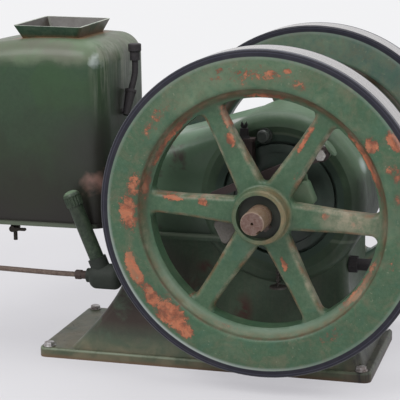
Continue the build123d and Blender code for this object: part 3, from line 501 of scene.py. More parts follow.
def past_spoke_edge(tree, radius, angle):
    """Distance out of a tapered spoke's edge, less than 0 on the spoke."""
    from_spoke = maths(tree, "SUBTRACT", angle, radians(SPOKE_ANGLE))
    half_step = radians(SPOKE_STEP / 2)
    across = times(tree, maths(tree, "SINE", maths(tree, "WRAP", from_spoke, half_step, -half_step)), radius)
    half_width = ramp(tree, radius, 0.03, 0.14, 0.0245, 0.0185)
    return maths(tree, "SUBTRACT", maths(tree, "ABSOLUTE", across), half_width)


def wheel_paint(tree, place, radius, angle, worn, ragged):
    """The wheel's green faces, with haze, flecks, a brown cove with painted shade on its upper half and painted
    light on its lower half, worn edges and a painted highlight on the rim's edge.
    """
    height = split(tree, place)["Z"]
    mottle = noise(tree, place, 34, 8, 0.72, 0.8)
    face = ramp(tree, radius, *FACE_STEP)
    flecks = ramp(tree, noise(tree, place, 150, 3, 0.6), 0.64, 0.70)
    past_edge = past_spoke_edge(tree, radius, angle)
    arms = ring(tree, radius, *SPOKE_RING)
    spoke_edges = times(tree, arms, ring(tree, past_edge, -0.0075, -0.003, 0.001, 0.0035))
    dusty = largest(tree, [times(tree, spoke_edges, 0.8), times(tree, ring(tree, radius, *INNER_RING), 0.4)])
    stain = ramp(tree, noise(tree, place, 26, 6, 0.6), 0.42, 0.58)
    lit_edge = ramp(tree, wheel_patch(tree, radius, angle, *LIT_RIM_EDGE), 0, 1, 0.18, 0.8)
    right = ramp(tree, maths(tree, "COSINE", angle), -0.5, 0.4, 0.25, 1.0)
    soot = tuple(COLOURS.soot)

    def torn(least, most):
        """A share that breaks up raggedly between two strengths."""
        return ramp(tree, ragged, 0, 1, least, most)

    return layered(
        tree, worn,
        ("Olive haze", (0.105, 0.092, 0.058), face, ramp(tree, mottle, 0.50, 0.66), 0.5),
        ("Deep green", (0.030, 0.088, 0.058), ramp(tree, mottle, 0.48, 0.34), 0.4),
        ("Pale flecks", (0.155, 0.165, 0.115), face, flecks, 0.55),
        # Brown, and on the upper half also painted shade
        ("Brown shaded cove", (0.070, 0.036, 0.022),
         ramp(tree, height, -0.10, 0.04), ring(tree, radius, *SHADED_COVE_RING), torn(0.35, 0.85)),
        # Painted light on the lower half of the cove
        ("Lit cove", (0.135, 0.175, 0.125),
         ramp(tree, height, -0.04, -0.12), ring(tree, radius, *LIT_COVE_RING), 0.5),
        ("Dark seam", (0.055, 0.032, 0.020), ring(tree, radius, *SEAM_RING), torn(0.35, 0.75)),
        ("Spoke dust", (0.215, 0.190, 0.135),
         wheel_patch(tree, radius, angle, *DUSTY_SPOKE), torn(0.35, 0.9)),
        ("Worn edges", mix(tree, stain, EDGE_RUST, tuple(COLOURS.dust)), dusty, torn(0.2, 0.95)),
        # A painted highlight on the rim's outer edge, strongest at the lower left
        ("Pale rim", (0.27, 0.30, 0.29), ring(tree, radius, *OUTER_RING), lit_edge),
        ("Worn hub", (0.165, 0.118, 0.064), ring(tree, radius, *HUB_RING), right, torn(0.45, 0.95)),
        ("Spoke walls", soot, arms, ramp(tree, past_edge, 0.001, 0.004), 0.6),
        ("Hub bore", soot, ramp(tree, radius, *BORE_STEP), 0.85),
    )


def flywheel_material(name, paint, patches, wear, side):
    """Painted wheel: green web and face, paler at the top as painted light, blue-black edge band with painted
    highlights, and a rim polished by a belt.
    """
    material, tree, shader = new_material(name)
    place = object_place(tree, (SHAFT.x, side * middle("flywheel_far").y, SHAFT.z))
    radius, angle, depth = polar(tree, place)
    chips = largest(tree, [wheel_patch(tree, radius, angle, *patch) for patch in patches]) if patches else 0.0
    ragged = ramp(tree, noise(tree, place, 60, 8, 0.7), 0.4, 0.62)
    # Paler paint at the top of the wheel: painted light from above
    fading = added(tree, 0.42, wheel_patch(tree, radius, angle, *LIT_TOP_PATCH))
    worn = worn_paint(tree, place, paint, fading, added(tree, chips, wear), 0.2, 0.7)
    reach = maths(tree, "ABSOLUTE", depth)
    band = mix(tree, times(tree, ragged, 0.10), tuple(COLOURS.tyre), WORN_BAND)
    polished = times(tree, ramp(tree, radius, *RIM_STEP), ramp(tree, reach, *POLISHED_REACH))
    streak = stretched(tree, place, (1, 260, 1))
    brushed = mix(tree, ramp(tree, noise(tree, streak, 6, 4), 0.35, 0.65), tuple(COLOURS.steel), DULL_STEEL)
    color = layered(
        tree, wheel_paint(tree, place, radius, angle, worn["Color"], ragged),
        ("Edge band", band, ramp(tree, radius, *BAND_STEP)),
        # A painted highlight on the rim's outer corner
        ("Band's lit corner", (0.30, 0.31, 0.36),
         ramp(tree, radius, *LIT_CORNER_STEP), ramp(tree, reach, *LIT_CORNER_REACH), 0.25),
        # A painted highlight line along the middle of the dark band
        ("Band's highlight line", (0.060, 0.060, 0.090), ring(tree, radius, *BAND_HIGHLIGHT_RING), 0.35),
        ("Polished rim", brushed, polished),
    )
    steel_rough = ramp(tree, noise(tree, streak, 9, 3), 0.3, 0.7, 0.22, 0.38)
    rough = mix(tree, polished, worn["Roughness"], steel_rough)
    finish_shader(tree, shader, color, rough, worn["Height"], 0.0007, metallic=polished, coat=0.05)
    return material


def hopper_material():
    """Hopper paint: faded round the top, dark below, sooty towards the crankcase, with runs on the right and a
    painted highlight on the front right corner.
    """
    material, tree, shader = new_material("Hopper enamel")
    place = object_place(tree)
    parts, normal = split(tree, place), facing(tree)
    height, across = parts["Z"], maths(tree, "ABSOLUTE", parts["Y"])
    cloud = noise(tree, place, 16, 7, 0.62, 0.5)
    wide = noise(tree, place, 9, 5, 0.55, 0.6)
    wobble = wobbled(tree, place, 40, 0.048)
    top = ramp(tree, added(tree, height, times(tree, cloud, 0.030)), 0.558, 0.582)
    streaks = ramp(tree, noise(tree, stretched(tree, place, (60, 60, 4)), 1.4, 7, 0.7, 0.6), 0.47, 0.6)
    side = ramp(tree, normal["X"], 0.2, 0.7)
    washed = times(tree, side, streaks, ramp(tree, height, 0.44, 0.54), 0.95)
    fading = added(tree, 0.10, times(tree, top, 0.85), times(tree, washed, 0.8))
    worn = worn_paint(tree, place, tuple(COLOURS.green), fading, 0.06, 0.1, 0.7, grit=0.25)
    from_mouth = maths(tree, "ABSOLUTE", maths(tree, "SUBTRACT", parts["X"], MOUTH.x))
    foot = times(tree, ramp(tree, from_mouth, 0.074, 0.062), ramp(tree, across, 0.090, 0.077))
    clouded = added(tree, height, times(tree, cloud, 0.1))
    low = ramp(tree, added(tree, height, times(tree, cloud, 0.16)), 0.61, 0.40)
    sooty = largest(tree, [
        times(tree, spot(tree, place, *SOOTY_FRONT), 0.95),
        times(tree, ramp(tree, clouded, 0.36, 0.28), 0.75),
        times(tree, side, ramp(tree, height, 0.56, 0.42), 0.55),
        times(tree, side, spot(tree, place, *SOOTY_SIDE), 0.95),
    ])
    color = layered(
        tree, worn["Color"],
        ("Pale roof", (0.078, 0.092, 0.060), largest(tree, [top, washed]), 0.8),
        ("Moss", (0.072, 0.115, 0.062), top, ramp(tree, wide, 0.52, 0.62), 0.7),
        ("Runs", (0.20, 0.21, 0.17), side, washed, 0.45),
        ("Leaf green", (0.022, 0.052, 0.018),
         ramp(tree, wide, 0.5, 0.38), ramp(tree, height, 0.575, 0.55), 0.5),
        # A painted highlight on the rounded front right corner
        ("Corner highlight", (0.30, 0.34, 0.33), spot(tree, wobble, *CORNER_HIGHLIGHT), 0.62),
        ("Grey patches", (0.078, 0.074, 0.058),
         top, ramp(tree, noise(tree, place, 22, 6, 0.6), 0.45, 0.62), 0.5),
        ("Rust round the mouth", (0.190, 0.105, 0.055),
         foot, ramp(tree, height, 0.574, 0.58), ramp(tree, cloud, 0.3, 0.5), 0.9),
        ("Dull sides", (0.0120, 0.0100, 0.0070), low, 0.88),
        ("Dark foot", (0.0085, 0.0060, 0.0045), ramp(tree, clouded, 0.36, 0.30), 0.6),
        ("Soot", (0.020, 0.017, 0.017), sooty, added(tree, times(tree, cloud, 0.7), 0.45)),
        ("Rubbed paint", (0.155, 0.088, 0.072),
         spot(tree, wobble, *RUBBED_PAINT), ramp(tree, cloud, 0.36, 0.46, 0.4, 1.0)),
        ("Bottom bead", (0.10, 0.125, 0.085),
         ramp(tree, across, 0.1245, 0.127), ramp(tree, height, 0.262, 0.256), 0.6),
        ("Inside", (0.06, 0.045, 0.035), ramp(tree, height, 0.587, 0.57), ramp(tree, normal["Z"], -0.2, -0.6)),
    )
    gloss = times(tree, maths(tree, "SUBTRACT", 1.0, top), 0.06)
    rough = maths(tree, "SUBTRACT", worn["Roughness"], gloss)
    finish_shader(tree, shader, color, rough, worn["Height"], 0.0005, coat=0.1)
    return material


def mouth_material():
    """Mouth paint: dark green outside, a rim that is pale where it faces up, and brown scale inside."""
    material, tree, shader = new_material("Mouth enamel")
    place = object_place(tree)
    parts, normal = split(tree, place), facing(tree)
    outward = added(
        tree, times(tree, normal["X"], maths(tree, "SUBTRACT", parts["X"], MOUTH.x)),
        times(tree, normal["Y"], parts["Y"]),
    )
    inside = ramp(tree, outward, 0.0, -0.01)
    outside = maths(tree, "SUBTRACT", 1.0, inside)
    cloud = noise(tree, place, 30, 7, 0.65, 0.4)
    patchy = ramp(tree, cloud, 0.3, 0.5)
    clouded = added(tree, parts["Z"], times(tree, cloud, 0.010))
    worn = worn_paint(tree, place, MOUTH_GREEN, 0.05, 0.15, 0.15, 0.8)
    color = layered(
        tree, worn["Color"],
        ("Rusty foot", (0.21, 0.105, 0.05), ramp(tree, clouded, 0.604, 0.597), patchy, 0.75),
        ("Brown flank", (0.105, 0.066, 0.048),
         ramp(tree, normal["X"], 0.4, 0.8), outside, ramp(tree, cloud, 0.35, 0.55), 0.65),
        ("Scale inside", mix(tree, ramp(tree, cloud, 0.38, 0.6), LIGHT_SCALE, DARK_SCALE), inside),
        # Pale on the rim's upward faces, in patches
        ("Pale rim", (0.30, 0.32, 0.27), ramp(tree, normal["Z"], 0.4, 0.8), patchy, 0.85),
    )
    finish_shader(tree, shader, color, worn["Roughness"], worn["Height"], 0.0006, coat=0.15)
    return material


def crankcase_material():
    """Crankcase paint: green drum painted lighter above and darker underneath as light and shade, brown pedestal,
    and a plate with oily dirt and rusted edges; painted highlights on the drum, the flange ledge and the cover's
    lip, and painted shade on the drum's lower right end.
    """
    material, tree, shader = new_material("Crankcase enamel")
    place = object_place(tree)
    parts, normal = split(tree, place), facing(tree)
    height, along = parts["Z"], parts["X"]
    cloud = noise(tree, place, 18, 7, 0.62, 0.5)
    radius, _, depth = polar(tree, object_place(tree, (SHAFT.x, 0, SHAFT.z)))
    # Lighter and more faded green where the drum faces up or sideways, darker where it faces down: painted light
    # and shade
    drum = times(tree, ramp(tree, height, 0.30, 0.36), ramp(tree, normal["Z"], -0.6, 0.1))
    lit_drum = times(tree, drum, ramp(tree, radius, 0.112, 0.122))
    fading = added(tree, 0.08, times(tree, lit_drum, 0.34))
    worn = worn_paint(tree, place, mix(tree, lit_drum, CASE_GREEN, LIT_DRUM_GREEN), fading, 0.12, 0.2, 0.9, grit=0.8)
    streaks = ramp(tree, noise(tree, stretched(tree, place, (60, 60, 7)), 1.4, 7, 0.7, 0.4), 0.5, 0.62)
    red_streak = times(tree, spot(tree, place, *RED_STREAK), ramp(tree, cloud, 0.44, 0.52))
    red = largest(tree, [spot(tree, place, *mark) for mark in RED_MARKS] + [red_streak])
    plate = ramp(tree, height, 0.05, 0.021)
    cakes = ramp(tree, noise(tree, place, 38, 9, 0.75, 1.2), 0.56, 0.62)
    low_rim = ramp(tree, added(tree, height, times(tree, cloud, 0.012)), 0.014, 0.008)
    shaded_below = ramp(tree, added(tree, height, times(tree, cloud, 0.05)), 0.415, 0.378)
    color = layered(
        tree, worn["Color"],
        ("Runs", (0.085, 0.085, 0.062), ramp(tree, height, 0.30, 0.22), streaks, 0.3),
        ("Brown pedestal", (0.028, 0.015, 0.012), ring(tree, height, *PEDESTAL_BAND),
         ramp(tree, cloud, 0.30, 0.45), ramp(tree, along, 0.02, -0.07, 0.12, 1.0), 0.92),
        ("Red marks", (0.060, 0.020, 0.018), red, ramp(tree, cloud, 0.36, 0.5), 0.9),
        ("Plate", mix(tree, ramp(tree, cloud, 0.38, 0.6), PLATE_GREEN, PLATE_DIRT), plate, 0.85),
        ("Plate's upper edge", (0.15, 0.185, 0.125), ring(tree, height, *PLATE_EDGE_BAND),
         ramp(tree, normal["Z"], 0.98, 0.9), ramp(tree, cloud, 0.32, 0.5), 0.75),
        ("Plate's rusty edge", (0.12, 0.070, 0.040), low_rim, ramp(tree, normal["Z"], 0.8, 0.4), 0.8),
        ("Caked oil", tuple(COLOURS.soot), plate, cakes, ramp(tree, normal["Z"], 0.6, 0.9), 0.8),
        # A painted highlight along the flange ledge's top edge
        ("Ledge highlight", (0.15, 0.18, 0.135), ring(tree, height, *LEDGE_HIGHLIGHT_BAND), 0.6),
        # Painted shade, streaked, on the drum's lower right end and the pedestal's right face
        ("Drum shade", (0.014, 0.012, 0.014),
         ramp(tree, along, 0.258, 0.290), shaded_below, ramp(tree, streaks, 0, 1, 0.6, 1.0)),
        # A painted highlight on the drum
        ("Drum highlight", (0.36, 0.42, 0.40), spot(tree, place, *DRUM_HIGHLIGHT), ramp(tree, cloud, 0.35, 0.5)),
        ("Cone", tuple(COLOURS.dark), ramp(tree, radius, *COVER_CONE_STEP),
         ramp(tree, maths(tree, "ABSOLUTE", depth), 0.08, 0.09), 0.9),
        # Painted light on the upper arc of the side cover's lip
        ("Lit cover lip", (0.20, 0.235, 0.17),
         ring(tree, radius, *LIT_COVER_LIP_RING), ramp(tree, height, 0.36, 0.42), 0.35),
    )
    finish_shader(tree, shader, color, worn["Roughness"], worn["Height"], 0.0006, coat=0.06)
    return material


def block_material():
    """Cylinder block paint: glossy green above, oily and red-brown below, with a painted highlight on its top."""
    material, tree, shader = new_material("Block enamel")
    place = object_place(tree)
    cloud = noise(tree, place, 20, 7, 0.6, 0.5)
    fading = added(tree, 0.08, times(tree, ramp(tree, facing(tree)["Z"], 0.1, 0.8), 0.35))
    worn = worn_paint(tree, place, BLOCK_GREEN, fading, 0.1, 0.2, 0.9, grit=0.5)
    clouded = added(tree, split(tree, place)["Z"], times(tree, cloud, 0.08))
    color = layered(
        tree, worn["Color"],
        ("Red-brown stains", (0.060, 0.028, 0.034),
         ramp(tree, noise(tree, place, 15, 5, 0.55, 0.6), 0.56, 0.64), 0.75),
        # A pale painted highlight on the block's top
        ("Block highlight", (0.42, 0.42, 0.40), spot(tree, place, *BLOCK_HIGHLIGHT), ramp(tree, cloud, 0.3, 0.5, 0.4, 1.0)),
        ("Oil", (0.024, 0.034, 0.024), ramp(tree, clouded, 0.370, 0.285), 0.85),
    )
    finish_shader(tree, shader, color, worn["Roughness"], worn["Height"], 0.0005, coat=0.16)
    return material


def shaft_material():
    """Shaft steel: purple-brown on the cut ends, yellow-brown round the sides, lighter at the rim."""
    material, tree, shader = new_material("Shaft steel")
    place = object_place(tree)
    endward = maths(tree, "ABSOLUTE", facing(tree)["Y"])
    rust = mix(tree, ramp(tree, endward, 0.6, 0.9), SHAFT_SIDE, SHAFT_END)
    values = {"Place": place, "Metal": WORN_STEEL, "Rusted": 0.98, "Rust": rust}
    film = place_group(tree, "Rust film", values)
    color = layered(
        tree, film["Color"],
        ("Lighter rim", (0.42, 0.36, 0.30), ring(tree, endward, 0.05, 0.3, 0.8, 0.97), 0.12),
        ("Nick", (0.75, 0.72, 0.66), spot(tree, place, *SHAFT_NICK)),
    )
    finish_shader(tree, shader, color, film["Roughness"], film["Height"], metallic=film["Metallic"])
    return material


def knob_material():
    """Filler cap paint: the dome painted paler where it faces up, as painted light, dark and oily in the flutes."""
    material, tree, shader = new_material("Knob enamel")
    place, normal = object_place(tree), facing(tree)
    leaning = added(tree, times(tree, normal["Z"], 0.9), times(tree, normal["X"], -0.4))
    # The upward faces of the dome are painted paler: painted light from above
    up = ramp(tree, leaning, 0.52, 0.85)
    worn = worn_paint(tree, place, KNOB_GREEN, times(tree, up, 0.6), 0.05, 0.15)
    color = layered(tree, worn["Color"], ("Lit dome", (0.120, 0.170, 0.110), up, 0.9))
    finish_shader(tree, shader, color, worn["Roughness"], worn["Height"], 0.0004, coat=0.05)
    return material


def dress(node, material):
    """Gives a CAD node one material."""
    piece = frame["nodes"][node]
    piece.data.materials.clear()
    piece.data.materials.append(material)


# Rusty finishes of single nodes, as metal, rust and how far the rust has gone
RUSTY_NODES = {
    "Oily brown iron": ((0.06, 0.05, 0.05), (0.034, 0.021, 0.019), 1.0,
                        ("bearing_near", "bearing_far", "cup_bracket", "spring_bracket")),
    "Dark brown fitting": ((0.05, 0.04, 0.04), (0.036, 0.022, 0.018), 1.0, ("fuel_nut", "fuel_nipple")),
    "Black iron": ((0.03, 0.03, 0.03), (0.012, 0.010, 0.011), 1.0, ("oil_cup",)),
    "Spring steel": ((0.2, 0.2, 0.19), (0.040, 0.030, 0.026), 0.85, ("speed_spring", "spring_rod")),
    "Lever iron": ((0.07, 0.06, 0.06), (0.050, 0.034, 0.034), 1.0, ("governor_lever",)),
    "Weight iron": ((0.24, 0.24, 0.22), (0.095, 0.084, 0.076), 0.95, ("governor_weight_lower",)),
    "Bright stud": ((0.62, 0.60, 0.58), (0.16, 0.11, 0.09), 0.5, ("lever_stud",)),
    "Brown tube": ((0.3, 0.25, 0.2), (0.060, 0.038, 0.031), 0.95, ("fuel_line",)),
    "Black brass": ((0.05, 0.04, 0.03), (0.022, 0.018, 0.014), 1.0, ("drain_cock", "drain_handle")),
    "Tee iron": ((0.03, 0.034, 0.03), (0.013, 0.017, 0.013), 1.0, ("fuel_tee",)),
    "Key steel": ((0.12, 0.10, 0.09), (0.040, 0.026, 0.022), 0.95, ("shaft_key_near", "shaft_key_far")),
}


class ENGINE_OT_paint(bpy.types.Operator):
    """Give every casting and fitting its finish"""

    bl_idname = "engine.paint"
    bl_label = "Finishes"

    def execute(self, context):
        make_worn_paint_group()
        make_rust_group()
        green, dark, wheel = tuple(COLOURS.green), tuple(COLOURS.dark), tuple(COLOURS.wheel)
        finishes = {
            "wheel_paint": painted("Weight enamel", wheel, 0.6, 0.12, 0.15),
            "green_paint": painted("Casting enamel", green, 0.25, 0.12, 0.35),
            "dark_green_paint": painted("Oily enamel", dark, 0.06, 0.05, 0.45, faded=(0.05, 0.075, 0.05), coat=0.3),
            "rusty_steel": rusty("Rusty steel", WORN_STEEL, (0.105, 0.050, 0.035), 0.98),
            "rusty_iron": rusty("Rusty iron", tuple(COLOURS.steel), (0.085, 0.050, 0.042), 1.0),
            "black_fittings": rusty("Black fittings", (0.060, 0.056, 0.060), (0.018, 0.015, 0.017), 0.82),
            "dull_brass": rusty("Dull brass", (0.3, 0.2, 0.08), (0.06, 0.042, 0.025), 0.9),
        }
        for part in frame["record"]["subparts"]:
            dress(part["node"], finishes[part["material_slot"]])
        for name, (metal, rust, rusted, nodes) in RUSTY_NODES.items():
            material = rusty(name, metal, rust, rusted)
            for node in nodes:
                dress(node, material)
        patches = FACE_CHIPS + COVE_CHIPS + SPOKE_CHIPS
        own = {
            "flywheel_near": flywheel_material("Near wheel enamel", wheel, patches, 0.12, -1),
            "flywheel_far": flywheel_material("Far wheel enamel", FAR_WHEEL, (), 0.05, 1),
            "hopper": hopper_material(),
            "hopper_mouth": mouth_material(),
            "crankcase": crankcase_material(),
            "cylinder_block": block_material(),
            "crankshaft": shaft_material(),
            "governor_weight_upper": painted("Upper weight enamel", (0.07, 0.14, 0.08), 0.8, 0.05, 0.05),
            "side_plug": painted("Plug enamel", (0.030, 0.038, 0.034), 0.1, 0.05, 0.3, coat=0.5),
            "filler_pipe": painted("Pipe enamel", (0.010, 0.021, 0.011), 0.06, 0.08, 0.3, coat=0.08),
        }
        for node, material in own.items():
            dress(node, material)
        knob_material()
        return {"FINISHED"}


# Mesh helpers
def axis_frame(centre, axis, turn=0.0):
    """A matrix that stands a piece made along +Z on a centre, pointing along an axis."""
    aim = Vector(axis).to_track_quat("Z", "Y").to_matrix().to_4x4()
    return Matrix.Translation(centre) @ aim @ Matrix.Rotation(turn, 4, "Z")


def turned(outline, profile, matrix, steps=32):
    """Spins a profile of radius and height pairs about its axis into a closed form."""
    points = [outline.verts.new((radius, 0, height)) for radius, height in profile]
    edges = [outline.edges.new(pair) for pair in zip(points, points[1:])]
    bmesh.ops.spin(
        outline, geom=points + edges, cent=(0, 0, 0), axis=(0, 0, 1), angle=2 * pi, steps=steps,
        use_merge=True, use_duplicate=False,
    )
    faces = {face for edge in edges for face in edge.link_faces}
    grown = set(faces)
    while grown:
        grown = {near for face in grown for edge in face.edges for near in edge.link_faces} - faces
        faces |= grown
    verts = list({vert for face in faces for vert in face.verts})
    bmesh.ops.transform(outline, matrix=matrix, verts=verts)


def hexagon(outline, flats, height, matrix):
    """A hexagon head with its top corners taken off."""
    low = bmesh.ops.create_circle(outline, cap_ends=True, radius=flats / sqrt(3), segments=6)["verts"]
    base = low[0].link_faces[0]
    grown = bmesh.ops.extrude_face_region(outline, geom=[base])["geom"]
    top = [item for item in grown if isinstance(item, bmesh.types.BMVert)]
    bmesh.ops.translate(outline, vec=(0, 0, height), verts=top)
    rim = [edge for edge in outline.edges if edge.verts[0] in top and edge.verts[1] in top]
    cut = bmesh.ops.bevel(
        outline, geom=rim, offset=HEX_CHAMFER, offset_type="OFFSET", segments=2, profile=0.5, affect="EDGES",
        material=-1,
    )
    verts = set(low) | set(cut["verts"])
    for vert in list(verts):
        verts |= {near for face in vert.link_faces for near in face.verts}
    bmesh.ops.transform(outline, matrix=matrix, verts=list(verts))


def make_piece(name, outline, body, material):
    """Closes a new piece's mesh, gives it its material and lets it ride on a body."""
    bmesh.ops.remove_doubles(outline, verts=outline.verts, dist=1e-6)
    bmesh.ops.dissolve_degenerate(outline, edges=outline.edges, dist=1e-7)
    bmesh.ops.recalc_face_normals(outline, faces=outline.faces)
    for face in outline.faces:
        face.smooth = True
    for edge in outline.edges:
        if len(edge.link_faces) == 2 and edge.calc_face_angle() > SHARP_EDGE:
            edge.smooth = False
    mesh = bpy.data.meshes.new(name)
    outline.to_mesh(mesh)
    outline.free()
    mesh.materials.append(material)
    piece = bpy.data.objects.new(name, mesh)
    bpy.context.scene.collection.objects.link(piece)
    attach(piece, body)
    return piece


class ENGINE_OT_fasteners(bpy.types.Operator):
    """Put bolts in the base and the flange and nuts on the cylinder head"""

    bl_idname = "engine.fasteners"
    bl_label = "Fasteners"

    def execute(self, context):
        bright = rusty("Bright bolt", (0.5, 0.49, 0.49), (0.09, 0.055, 0.045), 0.62)
        # The turns differ, so that no two heads stand alike
        bolts = bmesh.new()
        for along in (-1, 1):
            for across in (-1, 1):
                centre = (along * SIZES.bolt_spacing_x / 2, across * SIZES.bolt_spacing_y / 2, SIZES.plate_top)
                self.add_bolt(bolts, centre, SIZES.bolt_head, 0.3 + along * 0.2 + across * 0.5)
        make_piece("base_bolts", bolts, "engine", bright)
        studs = bmesh.new()
        for along in FLANGE_BOLTS_ALONG:
            for side in (-1, 1):
                centre = (along, side * FLANGE_BOLTS_ACROSS, FLANGE_TOP)
                turned(studs, ROUND_HEAD, axis_frame(centre, (0, 0, 1)), 20)
        make_piece("flange_bolts", studs, "engine", bright)
        nuts = bmesh.new()
        head = middle("cylinder_head")
        for across in (-1, 1):
            for up in (-1, 1):
                centre = (HEAD_FACE, head.y + across * HEAD_NUTS_ACROSS, head.z + up * HEAD_NUTS_UP)
                self.add_nut(nuts, centre, (-1, 0, 0), SIZES.head_nut, 0.2 * across + 0.3 * up)
        make_piece("head_nuts", nuts, "engine", bpy.data.materials["Rusty steel"])
        return {"FINISHED"}

    def add_bolt(self, outline, centre, flats, turn):
        """A washer with a hexagon head on it."""
        turned(outline, WASHER, axis_frame(centre, (0, 0, 1)))
        seat = Vector(centre) + Vector((0, 0, BOLT_SEAT))
        hexagon(outline, flats, BOLT_HEIGHT, axis_frame(seat, (0, 0, 1), turn))

    def add_nut(self, outline, centre, axis, flats, turn):
        """A nut with the end of its stud."""
        hexagon(outline, flats, NUT_HEIGHT, axis_frame(centre, axis, turn))
        turned(outline, HEAD_STUD, axis_frame(centre, axis), 20)


class ENGINE_OT_governor(bpy.types.Operator):
    """Put the cap and the spacer beside the governor lever's stud"""

    bl_idname = "engine.governor"
    bl_label = "Governor details"

    def execute(self, context):
        stud = middle("lever_stud")
        stud.y = LEVER_FACE
        cap = bmesh.new()
        radius = SIZES.lever_disc
        rounded = (
            (0, 0), (radius - 0.0015, 0), (radius, 0.0012), (radius, 0.0035), (radius - 0.0015, 0.005), (0, 0.0056),
        )
        turned(cap, rounded, axis_frame(stud + LEVER_OUTWARD * LEVER_CAP_OFFSET, LEVER_OUTWARD), 40)
        make_piece("lever_cap", cap, "engine", bpy.data.materials["Upper weight enamel"])
        spacer = bmesh.new()
        turned(spacer, LEVER_SPACER, axis_frame(stud + LEVER_OUTWARD * LEVER_SPACER_OFFSET, LEVER_OUTWARD), 28)
        make_piece("lever_spacer", spacer, "engine", bpy.data.materials["Oily brown iron"])
        return {"FINISHED"}


class ENGINE_OT_filler_knob(bpy.types.Operator):
    """Close the fuel filler with a domed, fluted cap"""

    bl_idname = "engine.filler_knob"
    bl_label = "Filler cap"

    def execute(self, context):
        radius, shoulder = SIZES.filler_cap, KNOB_HEIGHT - KNOB_DOME
        centre = middle("filler_cap") - KNOB_LEAN * KNOB_HEIGHT / 2
        knob = bmesh.new()
        wall = [(0, 0), (radius - 0.001, 0), (radius, 0.001), (radius, shoulder - 0.002), (radius, shoulder)]
        turns = [radians(turn) for turn in range(15, 90, 15)]
        top = [(radius * cos(turn), shoulder + KNOB_DOME * sin(turn)) for turn in turns]
        turned(knob, wall + top + [(0, KNOB_HEIGHT)], Matrix.Identity(4), FLUTES * 8)
        # Flutes round the wall, below the dome
        for vert in knob.verts:
            flat = Vector((vert.co.x, vert.co.y))
            if flat.length > radius * 0.98 and vert.co.z < shoulder:
                depth = FLUTE_DEPTH / 2 * (1 - cos(FLUTES * Vector((1, 0)).angle_signed(flat, 0)))
                vert.co.xy = flat * (radius - depth) / radius
        bmesh.ops.transform(knob, matrix=axis_frame(centre, KNOB_LEAN), verts=knob.verts)
        cap = make_piece("filler_knob", knob, "engine", bpy.data.materials["Knob enamel"])
        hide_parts("filler_cap")
        return {"FINISHED"}


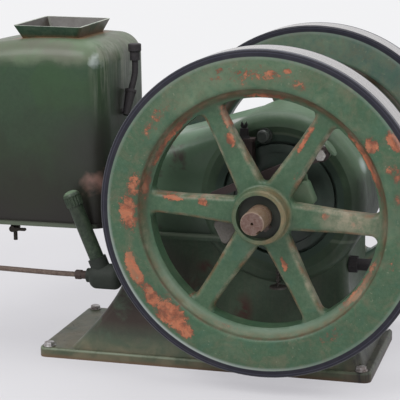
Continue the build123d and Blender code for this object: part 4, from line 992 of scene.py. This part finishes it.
class ENGINE_OT_stage(bpy.types.Operator):
    """Set up the floor, the lights, the world and the camera"""

    bl_idname = "engine.stage"
    bl_label = "Stage"

    def execute(self, context):
        scene = context.scene
        scene.view_settings.view_transform = "Standard"
        camera = bpy.data.objects.new("Camera", bpy.data.cameras.new("Camera"))
        camera.data.lens = SIZES.lens
        camera.data.sensor_width = SENSOR_WIDTH
        camera.data.clip_end = CLIP_END
        yaw, pitch, roll = CAMERA_YAW, CAMERA_PITCH, CAMERA_ROLL
        forward = Vector((-sin(yaw) * cos(pitch), cos(yaw) * cos(pitch), -sin(pitch)))
        level = Vector((cos(yaw), sin(yaw), 0))
        rise = level.cross(forward)
        across = level * cos(roll) + rise * sin(roll)
        upward = rise * cos(roll) - level * sin(roll)
        turn = Matrix((across, upward, -forward)).transposed().to_4x4()
        camera.matrix_world = Matrix.Translation(CAMERA_PLACE) @ turn
        scene.collection.objects.link(camera)
        scene.camera = camera
        self.make_world(scene)
        self.make_floor(scene)
        self.make_lights(scene)
        return {"FINISHED"}

    def seen_share(self, tree):
        """1 for rays that show the backdrop itself, 0 for those that only light the engine."""
        rays = make_node(tree, "LightPath").outputs
        return largest(tree, [rays[name] for name in ("Is Camera Ray", "Is Glossy Ray", "Is Transmission Ray")])

    def make_world(self, scene):
        """An even pale backdrop that lights the engine half as strongly as it looks."""
        world = bpy.data.worlds.new("Studio")
        scene.world = world
        world.use_nodes = True
        tree = world.node_tree
        tree.nodes.clear()
        output = tree.nodes.new("ShaderNodeOutputWorld")
        strength = ramp(tree, self.seen_share(tree), 0.0, 1.0, 0.5, 1.0)
        background = make_node(tree, "Background", {"Color": BACKDROP, "Strength": strength})
        tree.links.new(background.outputs["Background"], output.inputs["Surface"])

    def make_floor(self, scene):
        """A pale floor that takes a soft shadow and melts into the backdrop; its glow is painted darker near the
        engine as shade.
        """
        outline = bmesh.new()
        bmesh.ops.create_grid(outline, x_segments=1, y_segments=1, size=FLOOR_HALF_WIDTH)
        mesh = bpy.data.meshes.new("Floor")
        outline.to_mesh(mesh)
        outline.free()
        floor = bpy.data.objects.new("Floor", mesh)
        scene.collection.objects.link(floor)
        material, tree, shader = new_material("Pale floor")
        shader.inputs["Base Color"].default_value = (*COLOURS.floor, 1)
        shader.inputs["Roughness"].default_value = FLOOR_ROUGHNESS
        away = vector_length(tree, object_place(tree))
        # The floor's glow is darker near the engine: painted shade
        level = mix(tree, ramp(tree, away, 0.9, 2.2), SHADED_NEAR_FLOOR, BACKDROP)
        glow = make_node(tree, "Emission", {"Color": level, "Strength": 1.0})
        glowing = times(tree, self.seen_share(tree), ramp(tree, away, 0.9, 2.6, 0.74, 1.0))
        blend = make_node(tree, "MixShader", {"Fac": glowing})
        output = next(node for node in tree.nodes if node.type == "OUTPUT_MATERIAL")
        tree.links.new(shader.outputs["BSDF"], blend.inputs[1])
        tree.links.new(glow.outputs["Emission"], blend.inputs[2])
        tree.links.new(blend.outputs["Shader"], output.inputs["Surface"])
        mesh.materials.append(material)

    def make_lights(self, scene):
        """Square lamps, each aimed at a place on the engine."""
        for name, place, target, size, power in LAMPS:
            lamp = bpy.data.lights.new(name, "AREA")
            lamp.energy = power
            lamp.size = size
            stand = bpy.data.objects.new(name, lamp)
            stand.location = place
            aim = Vector(target) - Vector(place)
            stand.rotation_euler = aim.to_track_quat("-Z", "Y").to_euler()
            scene.collection.objects.link(stand)


class ENGINE_PT_parts(bpy.types.Panel):
    bl_label = "Engine"
    bl_idname = "ENGINE_PT_parts"
    bl_space_type = "VIEW_3D"
    bl_region_type = "UI"
    bl_category = "Engine"

    def draw(self, context):
        for operator in OPERATORS:
            self.layout.operator(operator.bl_idname)


OPERATORS = (ENGINE_OT_paint, ENGINE_OT_fasteners, ENGINE_OT_governor, ENGINE_OT_filler_knob, ENGINE_OT_stage)
CLASSES = (EngineSizes, EngineColours, *OPERATORS, ENGINE_PT_parts)


def register():
    for entry in CLASSES:
        bpy.utils.register_class(entry)
    bpy.types.Scene.engine_sizes = bpy.props.PointerProperty(type=EngineSizes)
    bpy.types.Scene.engine_colours = bpy.props.PointerProperty(type=EngineColours)


def unregister():
    del bpy.types.Scene.engine_colours
    del bpy.types.Scene.engine_sizes
    for entry in reversed(CLASSES):
        bpy.utils.unregister_class(entry)


def main():
    global SIZES, COLOURS
    register()
    SIZES = bpy.context.scene.engine_sizes
    COLOURS = bpy.context.scene.engine_colours
    for operator in OPERATORS:
        group, name = operator.bl_idname.split(".")
        getattr(getattr(bpy.ops, group), name)()


if __name__ == "__main__":
    main()
